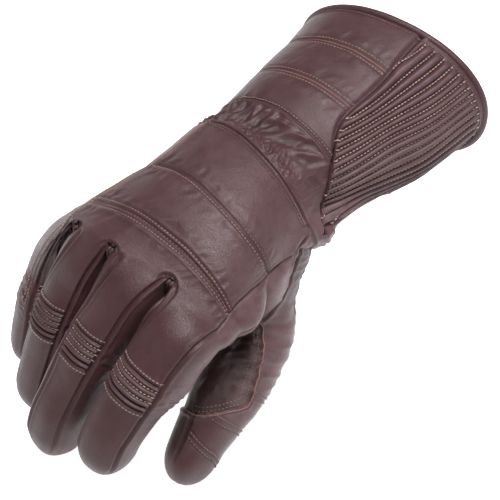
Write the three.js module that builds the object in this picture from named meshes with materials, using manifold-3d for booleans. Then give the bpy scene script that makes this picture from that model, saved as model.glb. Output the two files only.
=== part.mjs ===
// Right-hand leather motorcycle gauntlet glove, in millimetres.
// +Z is the back of the hand, the fingers point along -Y, the thumb is on the +X side,
// and the origin is the centre of the cuff's opening.
import * as THREE from 'three';
import Module from 'manifold-3d';

const wasm = await Module();
wasm.setup();
const { Manifold, Mesh: SolidMesh } = wasm;

// ---- driving sizes ----
const LEATHER = 2.0;          // wall of the outer shell
const LINING = 1.2;           // wall of the lining
const GAP = 0.35;             // clearance kept between neighbouring pieces
const LINING_GAP = 1.3;       // space between the shell and the lining
const RIM_RADIUS = 2.0;       // rolled binding round the cuff's mouth
const SQUARENESS = 2.15;      // exponent of the rounded cross-sections

// Seams across the glove, as distances from the cuff's mouth.
const SEAM = { rim: 2.6, cuffTop: 22, cuffMiddle: 47, gather: 73, wrist: 92, hand: 125, knuckle: 155 };
const FINGER_LINE = 168;      // where the fingers leave the hand
const LITTLE_STEP = 10;       // how much earlier the little finger leaves it

// Seams along the glove, as angles round the section: 0 is the back, 90 the thumb side.
const CUFF_ULNAR = -96;
const BACK_ULNAR = -64;
const PALM_ULNAR = -112;
const BACK_RADIAL = 78;
const PALM_RADIAL = 108;

// Cross-sections from the cuff's mouth (distance 0) to the finger line.
// skew and lean tilt a section: they move its thumb side and its top along Y.
const SECTIONS = [
  { at: 0, middle: 0, level: 0, half: 51, top: 38, bottom: 38, skew: 0.17, lean: 0.1 },
  { at: 28, middle: -0.5, level: 0, half: 47.5, top: 36, bottom: 35, skew: 0.02, lean: 0.03 },
  { at: 55, middle: -4, level: 0, half: 42.5, top: 32.5, bottom: 31.5, skew: 0, lean: 0 },
  { at: 78, middle: -7, level: 1, half: 37.5, top: 28.5, bottom: 29, skew: -0.08, lean: 0 },
  { at: 97, middle: -9, level: 2, half: 37, top: 26.5, bottom: 26, skew: -0.16, lean: 0 },
  { at: 123, middle: -7.5, level: 2.5, half: 41.5, top: 26.5, bottom: 26.5, skew: -0.13, lean: 0 },
  { at: 148, middle: -10, level: 2, half: 48.5, top: 23.5, bottom: 25, skew: -0.09, lean: 0 },
  { at: 170, middle: -15, level: 1, half: 56, top: 17.5, bottom: 18.5, skew: 0, lean: 0 },
];
const ARCH = 24;              // droop of the little finger's side at the finger line
const ARCH_FROM = 95;

// Each digit is a tube round a centre line. pitch is its downward slope at the root,
// bends are [from, to, degrees] along it, half and depth are its section's half sizes at
// root and tip, and roll turns its back towards the thumb (+) or the little finger (-).
const DIGITS = {
  index: {
    root: [28.5, -167, 1.5], yaw: -7, roll: 8, pitch: 0, length: 98,
    bends: [[0, 22, 37], [34, 55, 10], [66, 78, 17]], half: [16.3, 13], depth: [15, 12.3],
  },
  middle: {
    root: [-4.5, -167.3, 2.5], yaw: -5.5, roll: -6, pitch: 0, length: 112,
    bends: [[0, 22, 43], [36, 58, 8], [76, 88, 15]], half: [14.8, 13.2], depth: [14.5, 12.2],
  },
  ring: {
    root: [-36, -167, -4.3], yaw: 1, roll: -12, pitch: 0, length: 97,
    bends: [[0, 22, 49], [33, 54, 12], [66, 78, 4]], half: [13.3, 10.7], depth: [12.8, 10.8],
  },
  little: {
    root: [-64.5, -158, -29.2], yaw: 2, roll: -36, pitch: 0, length: 81,
    bends: [[0, 20, 49], [30, 50, 17], [56, 66, 3]], half: [12, 10.8], depth: [12, 9.8],
  },
  thumb: {
    root: [24, -104, -12.5], yaw: 14, roll: 60, pitch: 37, length: 126, heel: 26,
    bends: [[26, 56, -16], [70, 94, 12]], half: [19, 12.9], depth: [16.5, 9.5],
  },
};
const FINGER_TILT = 3;        // slope of the knuckle line, shared by every finger's hinges
// Zones along a finger: soft at the knuckle, stiff, soft under the ribs, stiff to the tip.
const FINGER_ZONES = {
  index: [2.4, 18, 36, 50], middle: [2.2, 18, 39, 54], ring: [2.4, 18, 37, 50], little: [2.4, 16, 33, 44],
};
const THUMB_ZONES = [-18, 34, 62, 80];
const HEEL_LENGTH = 46;       // the thumb's root narrows to nothing over this length, inside the hand
const DIGIT_BACK = 52;        // half angle of the back strip of a finger
const DIGIT_PALM = 128;       // angle where the palm strip of a finger begins

// ---- colours ----
const HIDE = 0x5c4647;
const HIDE_LIGHT = 0x6b5357;
const HIDE_DARK = 0x4a3637;
const CLOTH = 0x2b2523;

const radians = THREE.MathUtils.degToRad;
const smooth = (x) => THREE.MathUtils.smoothstep(x, 0, 1);
const { clamp, lerp } = THREE.MathUtils;
// Evenly spaced values, both ends included.
function steps(from, to, count) {
  return Array.from({ length: count + 1 }, (_, i) => lerp(from, to, i / count));
}

// ---- surfaces ----
// A rounded section's two coordinates, each -1 to 1, at an angle from its top.
function roundSection(angle, power = SQUARENESS) {
  const bend = (value) => Math.sign(value) * Math.abs(value) ** (2 / power);
  return [bend(Math.sin(angle)), bend(Math.cos(angle))];
}

// Cross-section values at a distance from the cuff's mouth, by Catmull-Rom interpolation.
function sectionAt(distance) {
  const last = SECTIONS.length - 1;
  let i = SECTIONS.findIndex((s) => s.at > distance) - 1;
  if (i < 0) i = distance < 0 ? 0 : last - 1;
  const share = (distance - SECTIONS[i].at) / (SECTIONS[i + 1].at - SECTIONS[i].at);
  const [p0, p1, p2, p3] = [Math.max(i - 1, 0), i, i + 1, Math.min(i + 2, last)].map((k) => SECTIONS[k]);
  const value = (key) => 0.5 * (2 * p1[key] + (p2[key] - p0[key]) * share
    + (2 * p0[key] - 5 * p1[key] + 4 * p2[key] - p3[key]) * share ** 2
    + (3 * p1[key] - p0[key] - 3 * p2[key] + p3[key]) * share ** 3);
  return Object.fromEntries(Object.keys(p1).filter((key) => key !== 'at').map((key) => [key, value(key)]));
}

// A point of the glove's main tube, inset below its outer face.
function tubePoint(distance, angle, inset) {
  const s = sectionAt(distance);
  const [across, up] = roundSection(radians(angle));
  const x = (s.half - inset) * across;
  const arch = ARCH * clamp((distance - ARCH_FROM) / (170 - ARCH_FROM), 0, 1.1) ** 1.5;
  const z = ((up > 0 ? s.top : s.bottom) - inset) * up - arch * Math.max(0, -x / s.half) ** 2;
  return new THREE.Vector3(s.middle + x, -distance + s.skew * x + s.lean * z, s.level + z);
}

// The finger line steps back at the little finger.
function fingerLine(angle) {
  return FINGER_LINE - LITTLE_STEP * smooth((-Math.sin(radians(angle)) - 0.5) / 0.16);
}

// Centre line of a digit: its frame every millimetre, by adding up short straight steps.
function centreLine(digit, tilt) {
  const yaw = radians(digit.yaw);
  const ahead = new THREE.Vector3(Math.sin(yaw), -Math.cos(yaw), 0);
  const level = new THREE.Vector3(Math.cos(yaw), Math.sin(yaw), 0);
  const side = level.multiplyScalar(Math.cos(tilt)).setZ(Math.sin(tilt));
  const down = new THREE.Vector3().crossVectors(side, ahead).normalize();
  const frames = [];
  const place = new THREE.Vector3(...digit.root);
  for (let s = 0; s <= digit.length + 1; s += 1) {
    let pitch = radians(digit.pitch);
    for (const [from, to, angle] of digit.bends) pitch += radians(angle) * smooth((s - from) / (to - from));
    const along = ahead.clone().multiplyScalar(Math.cos(pitch)).addScaledVector(down, Math.sin(pitch));
    const normal = new THREE.Vector3().crossVectors(side, along).negate();
    frames.push({ place: place.clone(), along, side, normal });
    place.add(along);
  }
  return frames;
}

function frameAt(frames, s) {
  const i = clamp(Math.floor(s), 0, frames.length - 2);
  const share = s < 0 ? 0 : s - i;
  const along = frames[i].along.clone().lerp(frames[i + 1].along, share).normalize();
  const place = frames[i].place.clone().lerp(frames[i + 1].place, share);
  place.addScaledVector(along, Math.min(s, 0));
  const { side } = frames[i];
  return { place, along, side, normal: new THREE.Vector3().crossVectors(side, along).negate() };
}

// Gives a function for points of a digit's skin; its end closes in a rounded tip.
function digitSkin(name) {
  const digit = DIGITS[name];
  const frames = centreLine(digit, name === 'thumb' ? 0 : radians(FINGER_TILT));
  const roll = radians(digit.roll);
  const dome = digit.half[1] * 1.3;
  return (s, angle, inset) => {
    const { place, side, normal } = frameAt(frames, s);
    const length = digit.length - inset;
    const share = clamp(s / length, 0, 1);
    const close = clamp((s - (length - dome)) / dome, 0, 1);
    const heel = digit.heel ? clamp((digit.heel - s) / HEEL_LENGTH, 0, 1) : 0;
    const narrow = Math.sqrt((1 - close ** 2.4) * (1 - heel ** 2.2));
    const [across, up] = roundSection(radians(angle), 2.4);
    const half = (lerp(digit.half[0], digit.half[1], share) - inset) * narrow * across;
    const deep = (lerp(digit.depth[0], digit.depth[1], share) - inset) * narrow * up;
    return place
      .addScaledVector(side, half * Math.cos(roll) + deep * Math.sin(roll))
      .addScaledVector(normal, deep * Math.cos(roll) - half * Math.sin(roll));
  };
}

// ---- solids ----
// Joins grids of points into one closed body, faces outward.
function closedBody(points, faces) {
  const geometry = new THREE.BufferGeometry();
  geometry.setAttribute('position', new THREE.Float32BufferAttribute(points.flatMap((p) => p.toArray()), 3));
  const volume = faces.reduce((sum, [a, b, c]) => (
    sum + points[a].dot(new THREE.Vector3().crossVectors(points[b], points[c]))), 0);
  geometry.setIndex((volume < 0 ? faces.map(([a, b, c]) => [a, c, b]) : faces).flat());
  geometry.computeVertexNormals();
  return geometry;
}

// A patch of wall between two insets of one skin. rows and columns are its sample values;
// a closed patch runs right round and joins its last column to its first.
function wall(skin, rows, columns, inset = 0, thickness = LEATHER, closed = false) {
  const points = [];
  const faces = [];
  for (const depth of [inset, inset + thickness]) {
    for (const u of rows) for (const v of columns) points.push(skin(u, v, depth));
  }
  const [high, wide] = [rows.length, columns.length];
  const at = (layer, i, j) => (layer * high + i) * wide + (j % wide);
  const quad = (a, b, c, d) => faces.push([a, b, c], [a, c, d]);
  const across = closed ? wide : wide - 1;
  for (let i = 0; i < high - 1; i += 1) {
    for (let j = 0; j < across; j += 1) {
      quad(at(0, i, j), at(0, i, j + 1), at(0, i + 1, j + 1), at(0, i + 1, j));
      quad(at(1, i, j), at(1, i + 1, j), at(1, i + 1, j + 1), at(1, i, j + 1));
    }
  }
  for (let j = 0; j < across; j += 1) {
    quad(at(0, 0, j), at(1, 0, j), at(1, 0, j + 1), at(0, 0, j + 1));
    quad(at(0, high - 1, j), at(0, high - 1, j + 1), at(1, high - 1, j + 1), at(1, high - 1, j));
  }
  if (!closed) {
    for (let i = 0; i < high - 1; i += 1) {
      quad(at(0, i, 0), at(0, i + 1, 0), at(1, i + 1, 0), at(1, i, 0));
      quad(at(0, i, wide - 1), at(1, i, wide - 1), at(1, i + 1, wide - 1), at(0, i + 1, wide - 1));
    }
  }
  return closedBody(points, faces);
}

// A ring of wall right round the skin.
function ring(skin, rows, count, inset = 0, thickness = LEATHER) {
  return wall(skin, rows, steps(0, 360, count).slice(0, count), inset, thickness, true);
}

function liningRing(skin, rows) {
  return ring(skin, rows, 26, LEATHER + LINING_GAP, LINING);
}

// A patch bounded by two lines along the glove, low(u) and high(u), in degrees.
function strip(skin, rows, low, high, count, inset = 0, thickness = LEATHER) {
  const spread = (u, share, depth) => skin(u, lerp(low(u), high(u), share), depth);
  return wall(spread, rows, steps(0, 1, count), inset, thickness);
}

// A closed end cap, hollow from its mouth: the last part of a digit.
function thimble(skin, from, length, count) {
  const points = [];
  const faces = [];
  const rowsOf = (inset) => {
    const end = length - inset;
    return [...steps(from, end - 12, 3), ...[8, 4.5, 1.8, 0.5].map((short) => end - short)];
  };
  const layers = [0, LEATHER].map((inset) => {
    const start = points.length;
    for (const s of rowsOf(inset)) {
      for (let j = 0; j < count; j += 1) points.push(skin(s, (360 * j) / count, inset));
    }
    points.push(skin(length - inset, 0, inset));
    return start;
  });
  const rows = 8;
  const pole = (layer) => layers[layer] + rows * count;
  const at = (layer, i, j) => layers[layer] + i * count + (j % count);
  const quad = (a, b, c, d) => faces.push([a, b, c], [a, c, d]);
  for (let j = 0; j < count; j += 1) {
    for (let i = 0; i < rows - 1; i += 1) {
      quad(at(0, i, j), at(0, i, j + 1), at(0, i + 1, j + 1), at(0, i + 1, j));
      quad(at(1, i, j), at(1, i + 1, j), at(1, i + 1, j + 1), at(1, i, j + 1));
    }
    faces.push([at(0, rows - 1, j), at(0, rows - 1, j + 1), pole(0)]);
    faces.push([at(1, rows - 1, j), pole(1), at(1, rows - 1, j + 1)]);
    quad(at(0, 0, j), at(1, 0, j), at(1, 0, j + 1), at(0, 0, j + 1));
  }
  return closedBody(points, faces);
}

// A solid plug filling the skin between two rows, used for cutting.
function plug(skin, rows, count, inset) {
  const points = rows.flatMap((u) => steps(0, 360, count).slice(0, count).map((v) => skin(u, v, inset)));
  const faces = [];
  for (let j = 0; j < count; j += 1) {
    const next = (j + 1) % count;
    for (let i = 0; i < rows.length - 1; i += 1) {
      const [a, b, c, d] = [i * count + j, i * count + next, (i + 1) * count + next, (i + 1) * count + j];
      faces.push([a, b, c], [a, c, d]);
    }
    const last = (rows.length - 1) * count;
    if (j > 0 && j < count - 1) faces.push([0, next, j], [last, last + j, last + next]);
  }
  return closedBody(points, faces);
}

function toSolid(geometry) {
  return new Manifold(new SolidMesh({
    numProp: 3,
    vertProperties: Float32Array.from(geometry.getAttribute('position').array),
    triVerts: Uint32Array.from(geometry.index.array),
  }));
}

// What is left of a body after cutting, as separate pieces from the cuff's end forwards.
function cut(geometry, tool) {
  const pieces = toSolid(geometry).subtract(toSolid(tool)).decompose();
  pieces.sort((a, b) => b.boundingBox().max[1] - a.boundingBox().max[1]);
  return pieces.filter((piece) => piece.volume() > 1).map((piece) => {
    const left = piece.getMesh();
    const result = new THREE.BufferGeometry();
    result.setAttribute('position', new THREE.Float32BufferAttribute(left.vertProperties, 3));
    result.setIndex(Array.from(left.triVerts));
    result.computeVertexNormals();
    return result;
  });
}

// ---- the glove ----
const glove = new THREE.Group();
function add(name, geometry, color, roughness = 0.5) {
  const mesh = new THREE.Mesh(geometry, new THREE.MeshStandardMaterial({ color, roughness, metalness: 0 }));
  mesh.name = name;
  glove.add(mesh);
}

// Rows between two seams, kept clear of both.
const between = (from, to, count) => steps(from + GAP, to - GAP, count);
const fixed = (angle, clear) => () => angle + clear;
const CLEAR = 0.6;            // angle that leaves the same gap beside a seam along the glove

// The stretch panel's two edges close to a point at the wrist's thumb side.
const STRETCH_POINT = 98;
function stretchBack(distance) {
  return 11 + 6 * smooth(distance / 55) + 71 * smooth((distance - 40) / (STRETCH_POINT - 40)) ** 1.3;
}
function stretchPalm(distance) {
  return 119 - 27 * smooth((distance - 30) / (STRETCH_POINT - 30));
}

// The rolled binding: a solid bead all round the cuff's mouth.
function solidBead(bead) {
  const [around, sides] = [40, 6];
  const points = [];
  const faces = [];
  for (let i = 0; i < around; i += 1) {
    for (let j = 0; j < sides; j += 1) points.push(bead((360 * j) / sides, (360 * i) / around, 0));
  }
  const at = (i, j) => (i % around) * sides + (j % sides);
  for (let i = 0; i < around; i += 1) {
    for (let j = 0; j < sides; j += 1) {
      faces.push([at(i, j), at(i, j + 1), at(i + 1, j + 1)], [at(i, j), at(i + 1, j + 1), at(i + 1, j)]);
    }
  }
  return closedBody(points, faces);
}

function addCuff() {
  const back = (from, to) => strip(
    tubePoint, between(from, to, 3), fixed(CUFF_ULNAR, CLEAR), (d) => stretchBack(d) - CLEAR, 9);
  add('cuff_back_upper', back(SEAM.rim, SEAM.cuffTop), HIDE);
  add('cuff_back_middle', back(SEAM.cuffTop, SEAM.cuffMiddle), HIDE_LIGHT);
  add('cuff_back_lower', back(SEAM.cuffMiddle, SEAM.gather), HIDE);
  const rows = between(SEAM.rim, SEAM.gather, 8);
  add('cuff_stretch_panel', strip(
    tubePoint, rows, (d) => stretchBack(d) + CLEAR, (d) => stretchPalm(d) - CLEAR, 8), HIDE_LIGHT, 0.45);
  add('cuff_palm_panel', strip(
    tubePoint, rows, (d) => stretchPalm(d) + CLEAR, fixed(360 + CUFF_ULNAR, -CLEAR), 11), HIDE);
  add('cuff_lining', liningRing(tubePoint, between(SEAM.rim, SEAM.gather, 6)), CLOTH, 0.9);
  const bead = (turn, angle, inset) => {
    const reach = (RIM_RADIUS - inset);
    return tubePoint(-reach * Math.cos(radians(turn)), angle, RIM_RADIUS - reach * Math.sin(radians(turn)));
  };
  add('cuff_binding', solidBead(bead), HIDE_DARK);
}

// The soft wrist: gathered leather over an elastic band, and the stretch panel's point.
function addWrist() {
  const rows = between(SEAM.gather, SEAM.wrist, 4);
  add('wrist_gather_back', strip(
    tubePoint, rows, fixed(CUFF_ULNAR, CLEAR), (d) => stretchBack(d) - CLEAR, 10), HIDE_DARK, 0.55);
  add('wrist_stretch_point', strip(
    tubePoint, rows, (d) => stretchBack(d) + CLEAR, (d) => stretchPalm(d) - CLEAR, 4), HIDE_LIGHT, 0.45);
  add('wrist_gather_palm', strip(
    tubePoint, rows, (d) => stretchPalm(d) + CLEAR, fixed(360 + CUFF_ULNAR, -CLEAR), 10), HIDE_DARK, 0.55);
  add('wrist_elastic', liningRing(tubePoint, steps(SEAM.gather + 4, SEAM.wrist - 4, 2)), CLOTH, 0.9);
}

const thumbSkin = digitSkin('thumb');
const thumbCutter = plug(thumbSkin, steps(-18, 44, 9), 20, -GAP);
const thumbPassage = plug(thumbSkin, steps(-18, 44, 9), 20, LEATHER + 1);

function addHand() {
  const toFingers = (share, angle, inset) => (
    tubePoint(lerp(SEAM.knuckle + GAP, fingerLine(angle), share), angle, inset));
  const whole = (share, angle, inset) => (
    tubePoint(lerp(SEAM.wrist + GAP, fingerLine(angle), share), angle, inset));
  const angles = (from, to, count) => steps(from + CLEAR, to - CLEAR, count);
  const back = angles(BACK_ULNAR, BACK_RADIAL, 9);
  add('hand_back_upper', wall(tubePoint, between(SEAM.wrist, SEAM.hand, 4), back), HIDE_LIGHT);
  add('hand_back_middle', wall(tubePoint, between(SEAM.hand, SEAM.knuckle, 4), back), HIDE);
  add('knuckle_panel', wall(toFingers, steps(0, 1, 2), back), HIDE_LIGHT);
  add('ulnar_side_strip', wall(whole, steps(0, 1, 10), angles(PALM_ULNAR, BACK_ULNAR, 4)), HIDE_DARK);
  const sideRows = steps(0, 1, 10);
  const [radial] = cut(wall(whole, sideRows, angles(BACK_RADIAL, PALM_RADIAL, 3)), thumbCutter);
  add('radial_side_strip', radial, HIDE_DARK);
  const [palm] = cut(wall(whole, sideRows, angles(PALM_RADIAL, 360 + PALM_ULNAR, 12)), thumbCutter);
  add('palm_panel', palm, HIDE);
  const [lining] = cut(liningRing(whole, steps(0, 0.97, 8)), thumbPassage);
  add('hand_lining', lining, CLOTH, 0.9);
  add('palm_patch', palmPatch(), HIDE_DARK);
}

// The reinforcement under the palm: a flat plate with rounded corners.
const PATCH = { width: 46, length: 40, corner: 12, thickness: 1.8, middle: [-16, -136], face: -26.4 };
function palmPatch() {
  const [w, l, r] = [PATCH.width / 2, PATCH.length / 2, PATCH.corner];
  const outline = new THREE.Shape();
  outline.absarc(w - r, l - r, r, 0, Math.PI / 2);
  outline.absarc(r - w, l - r, r, Math.PI / 2, Math.PI);
  outline.absarc(r - w, r - l, r, Math.PI, 1.5 * Math.PI);
  outline.absarc(w - r, r - l, r, 1.5 * Math.PI, 2 * Math.PI);
  const shape = { depth: PATCH.thickness, bevelEnabled: false, curveSegments: 4 };
  const plate = new THREE.ExtrudeGeometry(outline, shape);
  return plate.translate(...PATCH.middle, PATCH.face);
}

// One finger: knuckle sleeve, four base strips, rib panel over a flex sleeve, and its tip.
function addFinger(name) {
  const skin = digitSkin(name);
  const [root, base, flex, tip] = FINGER_ZONES[name];
  const sides = 1.6;          // angle that leaves the gap beside a finger's long seams
  const zone = (from, to, low, high, rows, columns) => wall(
    skin, between(from, to, rows), steps(low + sides, high - sides, columns));
  add(`${name}_root_sleeve`, ring(skin, between(root, base, 2), 16), HIDE_DARK);
  add(`${name}_base_back`, zone(base, flex, -DIGIT_BACK, DIGIT_BACK, 2, 4), HIDE);
  add(`${name}_base_palm`, zone(base, flex, DIGIT_PALM, 360 - DIGIT_PALM, 2, 4), HIDE_LIGHT);
  add(`${name}_thumbward_side`, zone(base, flex, DIGIT_BACK, DIGIT_PALM, 2, 3), HIDE_DARK);
  add(`${name}_outward_side`, zone(base, flex, -DIGIT_PALM, -DIGIT_BACK, 2, 3), HIDE_DARK);
  add(`${name}_rib_panel`, zone(flex, tip, -DIGIT_BACK, DIGIT_BACK, 4, 4), HIDE_LIGHT, 0.45);
  add(`${name}_flex_sleeve`, zone(flex, tip, DIGIT_BACK, 360 - DIGIT_BACK, 4, 10), HIDE_DARK);
  add(`${name}_tip`, thimble(skin, tip + GAP, DIGITS[name].length, 16), HIDE);
}

function addThumb() {
  const [root, base, flex, tip] = THUMB_ZONES;
  const handBody = plug(tubePoint, steps(SEAM.wrist - 20, FINGER_LINE, 8), 36, -GAP);
  const zone = (low, high, columns) => wall(
    thumbSkin, between(base, flex, 3), steps(low + 1.2, high - 1.2, columns));
  const [sleeve] = cut(ring(thumbSkin, between(root, base, 7), 20), handBody);
  add('thumb_root_sleeve', sleeve, HIDE);
  add('thumb_base_back', zone(-DIGIT_BACK, DIGIT_BACK, 5), HIDE_LIGHT);
  add('thumb_base_pad', zone(DIGIT_PALM, 360 - DIGIT_PALM, 5), HIDE_LIGHT);
  add('thumb_palmward_side', zone(-DIGIT_PALM, -DIGIT_BACK, 4), HIDE_DARK);
  add('thumb_outward_side', zone(DIGIT_BACK, DIGIT_PALM, 4), HIDE_DARK);
  add('thumb_flex_sleeve', ring(thumbSkin, between(flex, tip, 3), 20), HIDE_DARK);
  add('thumb_tip', thimble(thumbSkin, tip + GAP, DIGITS.thumb.length, 18), HIDE);
}

addCuff();
addWrist();
addHand();
for (const name of ['index', 'middle', 'ring', 'little']) addFinger(name);
addThumb();

export default glove;
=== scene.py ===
import math

import bpy
import numpy as np
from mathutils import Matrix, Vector


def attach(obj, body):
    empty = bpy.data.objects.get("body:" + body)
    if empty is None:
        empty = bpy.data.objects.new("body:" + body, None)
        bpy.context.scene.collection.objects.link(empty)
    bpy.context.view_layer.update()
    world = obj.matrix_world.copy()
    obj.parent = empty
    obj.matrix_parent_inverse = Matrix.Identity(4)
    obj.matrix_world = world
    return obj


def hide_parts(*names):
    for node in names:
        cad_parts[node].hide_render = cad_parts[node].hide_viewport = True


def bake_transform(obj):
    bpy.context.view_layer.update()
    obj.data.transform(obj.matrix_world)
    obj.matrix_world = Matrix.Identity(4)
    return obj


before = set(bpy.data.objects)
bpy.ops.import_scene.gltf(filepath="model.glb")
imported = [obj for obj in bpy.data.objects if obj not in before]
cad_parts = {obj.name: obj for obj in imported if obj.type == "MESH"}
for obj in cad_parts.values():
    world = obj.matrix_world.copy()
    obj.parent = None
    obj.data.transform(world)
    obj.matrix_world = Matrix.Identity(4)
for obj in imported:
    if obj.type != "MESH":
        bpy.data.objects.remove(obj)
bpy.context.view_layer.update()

# A leather gauntlet glove. A smooth tube makes the cuff and hand, and a bent tube each digit. Relief on them
# makes the seams, ribs, folds and padding, and closed leather panels, cords and stitches are laid on top.
MM = 0.001

# ---- driving sizes, in millimetres and degrees, close to the plain solids' ----
SQUARENESS = 2.15          # of the tube's sections; 2 would be an ellipse
# distance from the cuff's mouth, middle, level, half width, top, bottom, skew, lean
SECTIONS = np.array([
    [0, 0, 0, 51, 38, 38, 0.195, 0.135],
    [28, -0.5, 0, 47.5, 36, 35, 0.02, 0.03],
    [55, -4, 0, 42.5, 32.5, 31.5, 0, 0],
    [78, -7, 1, 37.5, 28.5, 29, -0.08, 0],
    [97, -9, 2, 37, 26.5, 26, -0.16, 0],
    [123, -7.5, 2.5, 41.5, 26.5, 26.5, -0.13, 0],
    [148, -10, 2, 48.5, 23.5, 25, -0.09, 0],
    [170, -15, 1, 56, 17.5, 18.5, 0, 0],
])
ARCH, ARCH_FROM, ARCH_TO = 24, 95, 170     # how far the little finger's side droops, and between where
SEAM_RIM, SEAM_A, SEAM_B, SEAM_C, SEAM_D, SEAM_E, SEAM_F = 2.6, 24.8, 48.5, 70.5, 93, 125.5, 155.5
# How much farther from the mouth each seam lies at these angles round the glove.
SEAM_ANGLES = (-180, -96, -58, -42, -28, -8, 20, 45, 70, 120, 180)
SEAM_DRIFT = {
    SEAM_RIM: (0,) * 11,
    SEAM_A: (1, 6, 5, 4, 2, 0, 0, 0, 0, 0, 1), SEAM_B: (1, 5, 4, 3, 2, 0.5, 0, 0, 0, 0, 1),
    SEAM_C: (3, 8, 7, 5, 3, 0.5, 0, 0, 1, 2, 3), SEAM_D: (1, 7, 7, 5, 3, 1.5, 1, 0.5, 0, 0, 1),
    SEAM_E: (3, 6, 6, 5.5, 4.5, 3, 2.5, 1.5, 0, 1, 3), SEAM_F: (2, 3, 3, 3, 3, 1.8, 0, 0.5, 2, 2, 2),
}
CUFF_ULNAR, PALM_ULNAR, PALM_RADIAL = -96, -112, 108       # angles of the seams along the cuff and the palm
HIDE = 1.8                 # leather thickness
WRIST_AT = 82.5            # distance from the mouth at which the wrist bends

# Each digit's root, turns and length, bends (from, to, degrees), and half width and depth, root to tip.
DIGITS = {
    "index": dict(root=(28.5, -167, 1.5), yaw=-7, roll=8, length=94,
                  bends=[(0, 22, 37), (34, 55, 10), (66, 78, 17)], half=(16.3, 12), depth=(15, 12)),
    "middle": dict(root=(-4.5, -167.3, 2.5), yaw=-5.5, roll=-6, length=107.4,
                   bends=[(0, 22, 43), (36, 58, 8), (76, 88, 15)], half=(14.8, 13.1), depth=(14.5, 12.2)),
    "ring": dict(root=(-36, -167, -4.3), yaw=1, roll=-12, length=96.3,
                 bends=[(0, 22, 49), (33, 54, 12), (66, 78, 4)], half=(13.3, 10.7), depth=(12.8, 10.8)),
    "little": dict(root=(-64.5, -158, -29.2), yaw=2, roll=-36, length=80.3,
                   bends=[(0, 20, 49), (30, 50, 17), (56, 66, 3)], half=(12, 10.8), depth=(12, 9.8)),
    "thumb": dict(root=(24, -104, -12.5), yaw=14, roll=60, pitch=37, length=126, heel=26,
                  bends=[(26, 56, -16), (70, 94, 12)], half=(19, 12.9), depth=(16.5, 9.5)),
}
FINGERS = ("index", "middle", "ring", "little")
FINGER_TILT = 3
DIGIT_SQUARENESS = 2.4
TIP_LENGTH, TIP_POWER = 1.3, 2.4       # a rounded tip's length over its half width, and how full it is
HEEL_LENGTH, HEEL_POWER = 46, 2.2      # the thumb's root, inside the hand
FULLNESS = 0.3             # how far a finger's leather stands off its plain tube
RIB_BOW = 1.2              # how far the ribs' ends lie nearer the hand than their middles
# Distances along each finger between which its ribs lie, and along the thumb: its root's end, and its bend.
RIB_ZONE = {"index": (36, 50), "middle": (37, 51), "ring": (35.5, 49), "little": (33, 44)}
THUMB_ZONE = (34, 62, 80)
BACK_EDGE, PALM_EDGE = 52, 128             # angles round a finger at which its back and its palm side end
# The seams beside each finger's back: distances along it, and the angles there, of the first and the second.
BACK_SEAMS = {
    "index": (((0, 8, 14, 24, 34, 60), (-43, -42, -43, -49, -58, -60)),
              ((0, 10, 30, 40, 60), (46, 47, 48, 55, 57))),
    "middle": (((0, 6, 14, 24, 36, 46, 60), (-37, -33, -25, -25, -33, -28, -22)), ((0, 5, 60), (39, 48, 50))),
    "ring": (((0, 4, 10, 16, 23, 32, 60), (-35, -32, -22, -21, -34, -44, -46)), ((3, 8, 60), (38, 50, 51))),
    "little": (((-6, 0, 7, 11, 16, 20, 26, 34, 60), (-28, -27, -12, 3, 20, 35, 45, 50, 58)),
               ((11, 18, 26, 60), (26, 60, 108, 116))),
}
# Hand angles between which each finger's back lies; its palm side mirrors them.
LANES = {"little": (-64, -33), "ring": (-33, -6), "middle": (-6, 25.5), "index": (25.5, 78)}
LITTLE_SEAM = (-28, -46)   # the little finger's outer back seam: round the finger, and round the hand


def smooth(x):
    x = np.clip(x, 0, 1)
    return x * x * (3 - 2 * x)


def lerp(a, b, t):
    return a + (b - a) * t


def bump(x, width):
    """A rounded ridge of height 1 at x = 0."""
    return np.exp(-(x / width) ** 2)


def wrap(angle):
    """The same angle, from -180 up to 180."""
    return np.mod(angle + 180, 360) - 180


def unit(vectors):
    return vectors / np.maximum(np.linalg.norm(vectors, axis=-1, keepdims=True), 1e-9)


def floats(*values):
    """Numbers or arrays, as arrays of one shape."""
    return np.broadcast_arrays(*[np.asarray(value, float) for value in values])


# ---- a smooth random field ----
GRADIENTS = unit(np.random.RandomState(7).normal(size=(256, 3)))


def noise(x, y, z=0.0, seed=0):
    """Gradient noise, about -0.7 to 0.7."""
    p = np.stack(np.broadcast_arrays(x, y, z), -1).astype(float)
    cell = np.floor(p).astype(np.int64)
    f = p - cell
    fade = f * f * f * (f * (f * 6 - 15) + 10)
    total = np.zeros(p.shape[:-1])
    for corner in np.ndindex(2, 2, 2):
        c = cell + np.array(corner)
        key = (c[..., 0] * 73856093) ^ (c[..., 1] * 19349663) ^ (c[..., 2] * 83492791) ^ (seed * 2654435)
        g = GRADIENTS[(key ^ (key >> 9)) & 255]
        near = np.prod(np.where(np.array(corner) == 1, fade, 1 - fade), -1)
        total += near * np.sum(g * (f - np.array(corner)), -1)
    return total


def ripple(p, sizes, seed):
    """Noise over points, with waves of about these sizes along the three axes."""
    return noise(*np.moveaxis(p / np.array(sizes, float), -1, 0), seed)


def creases(across, along, seed, wave, stretch):
    """Sharp-topped folds: wave is their spacing across, stretch how long they run."""
    n = noise(across / wave, along / (wave * stretch), 0.0, seed)
    return 1 - np.minimum(1, np.abs(n) * 3.2)


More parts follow.
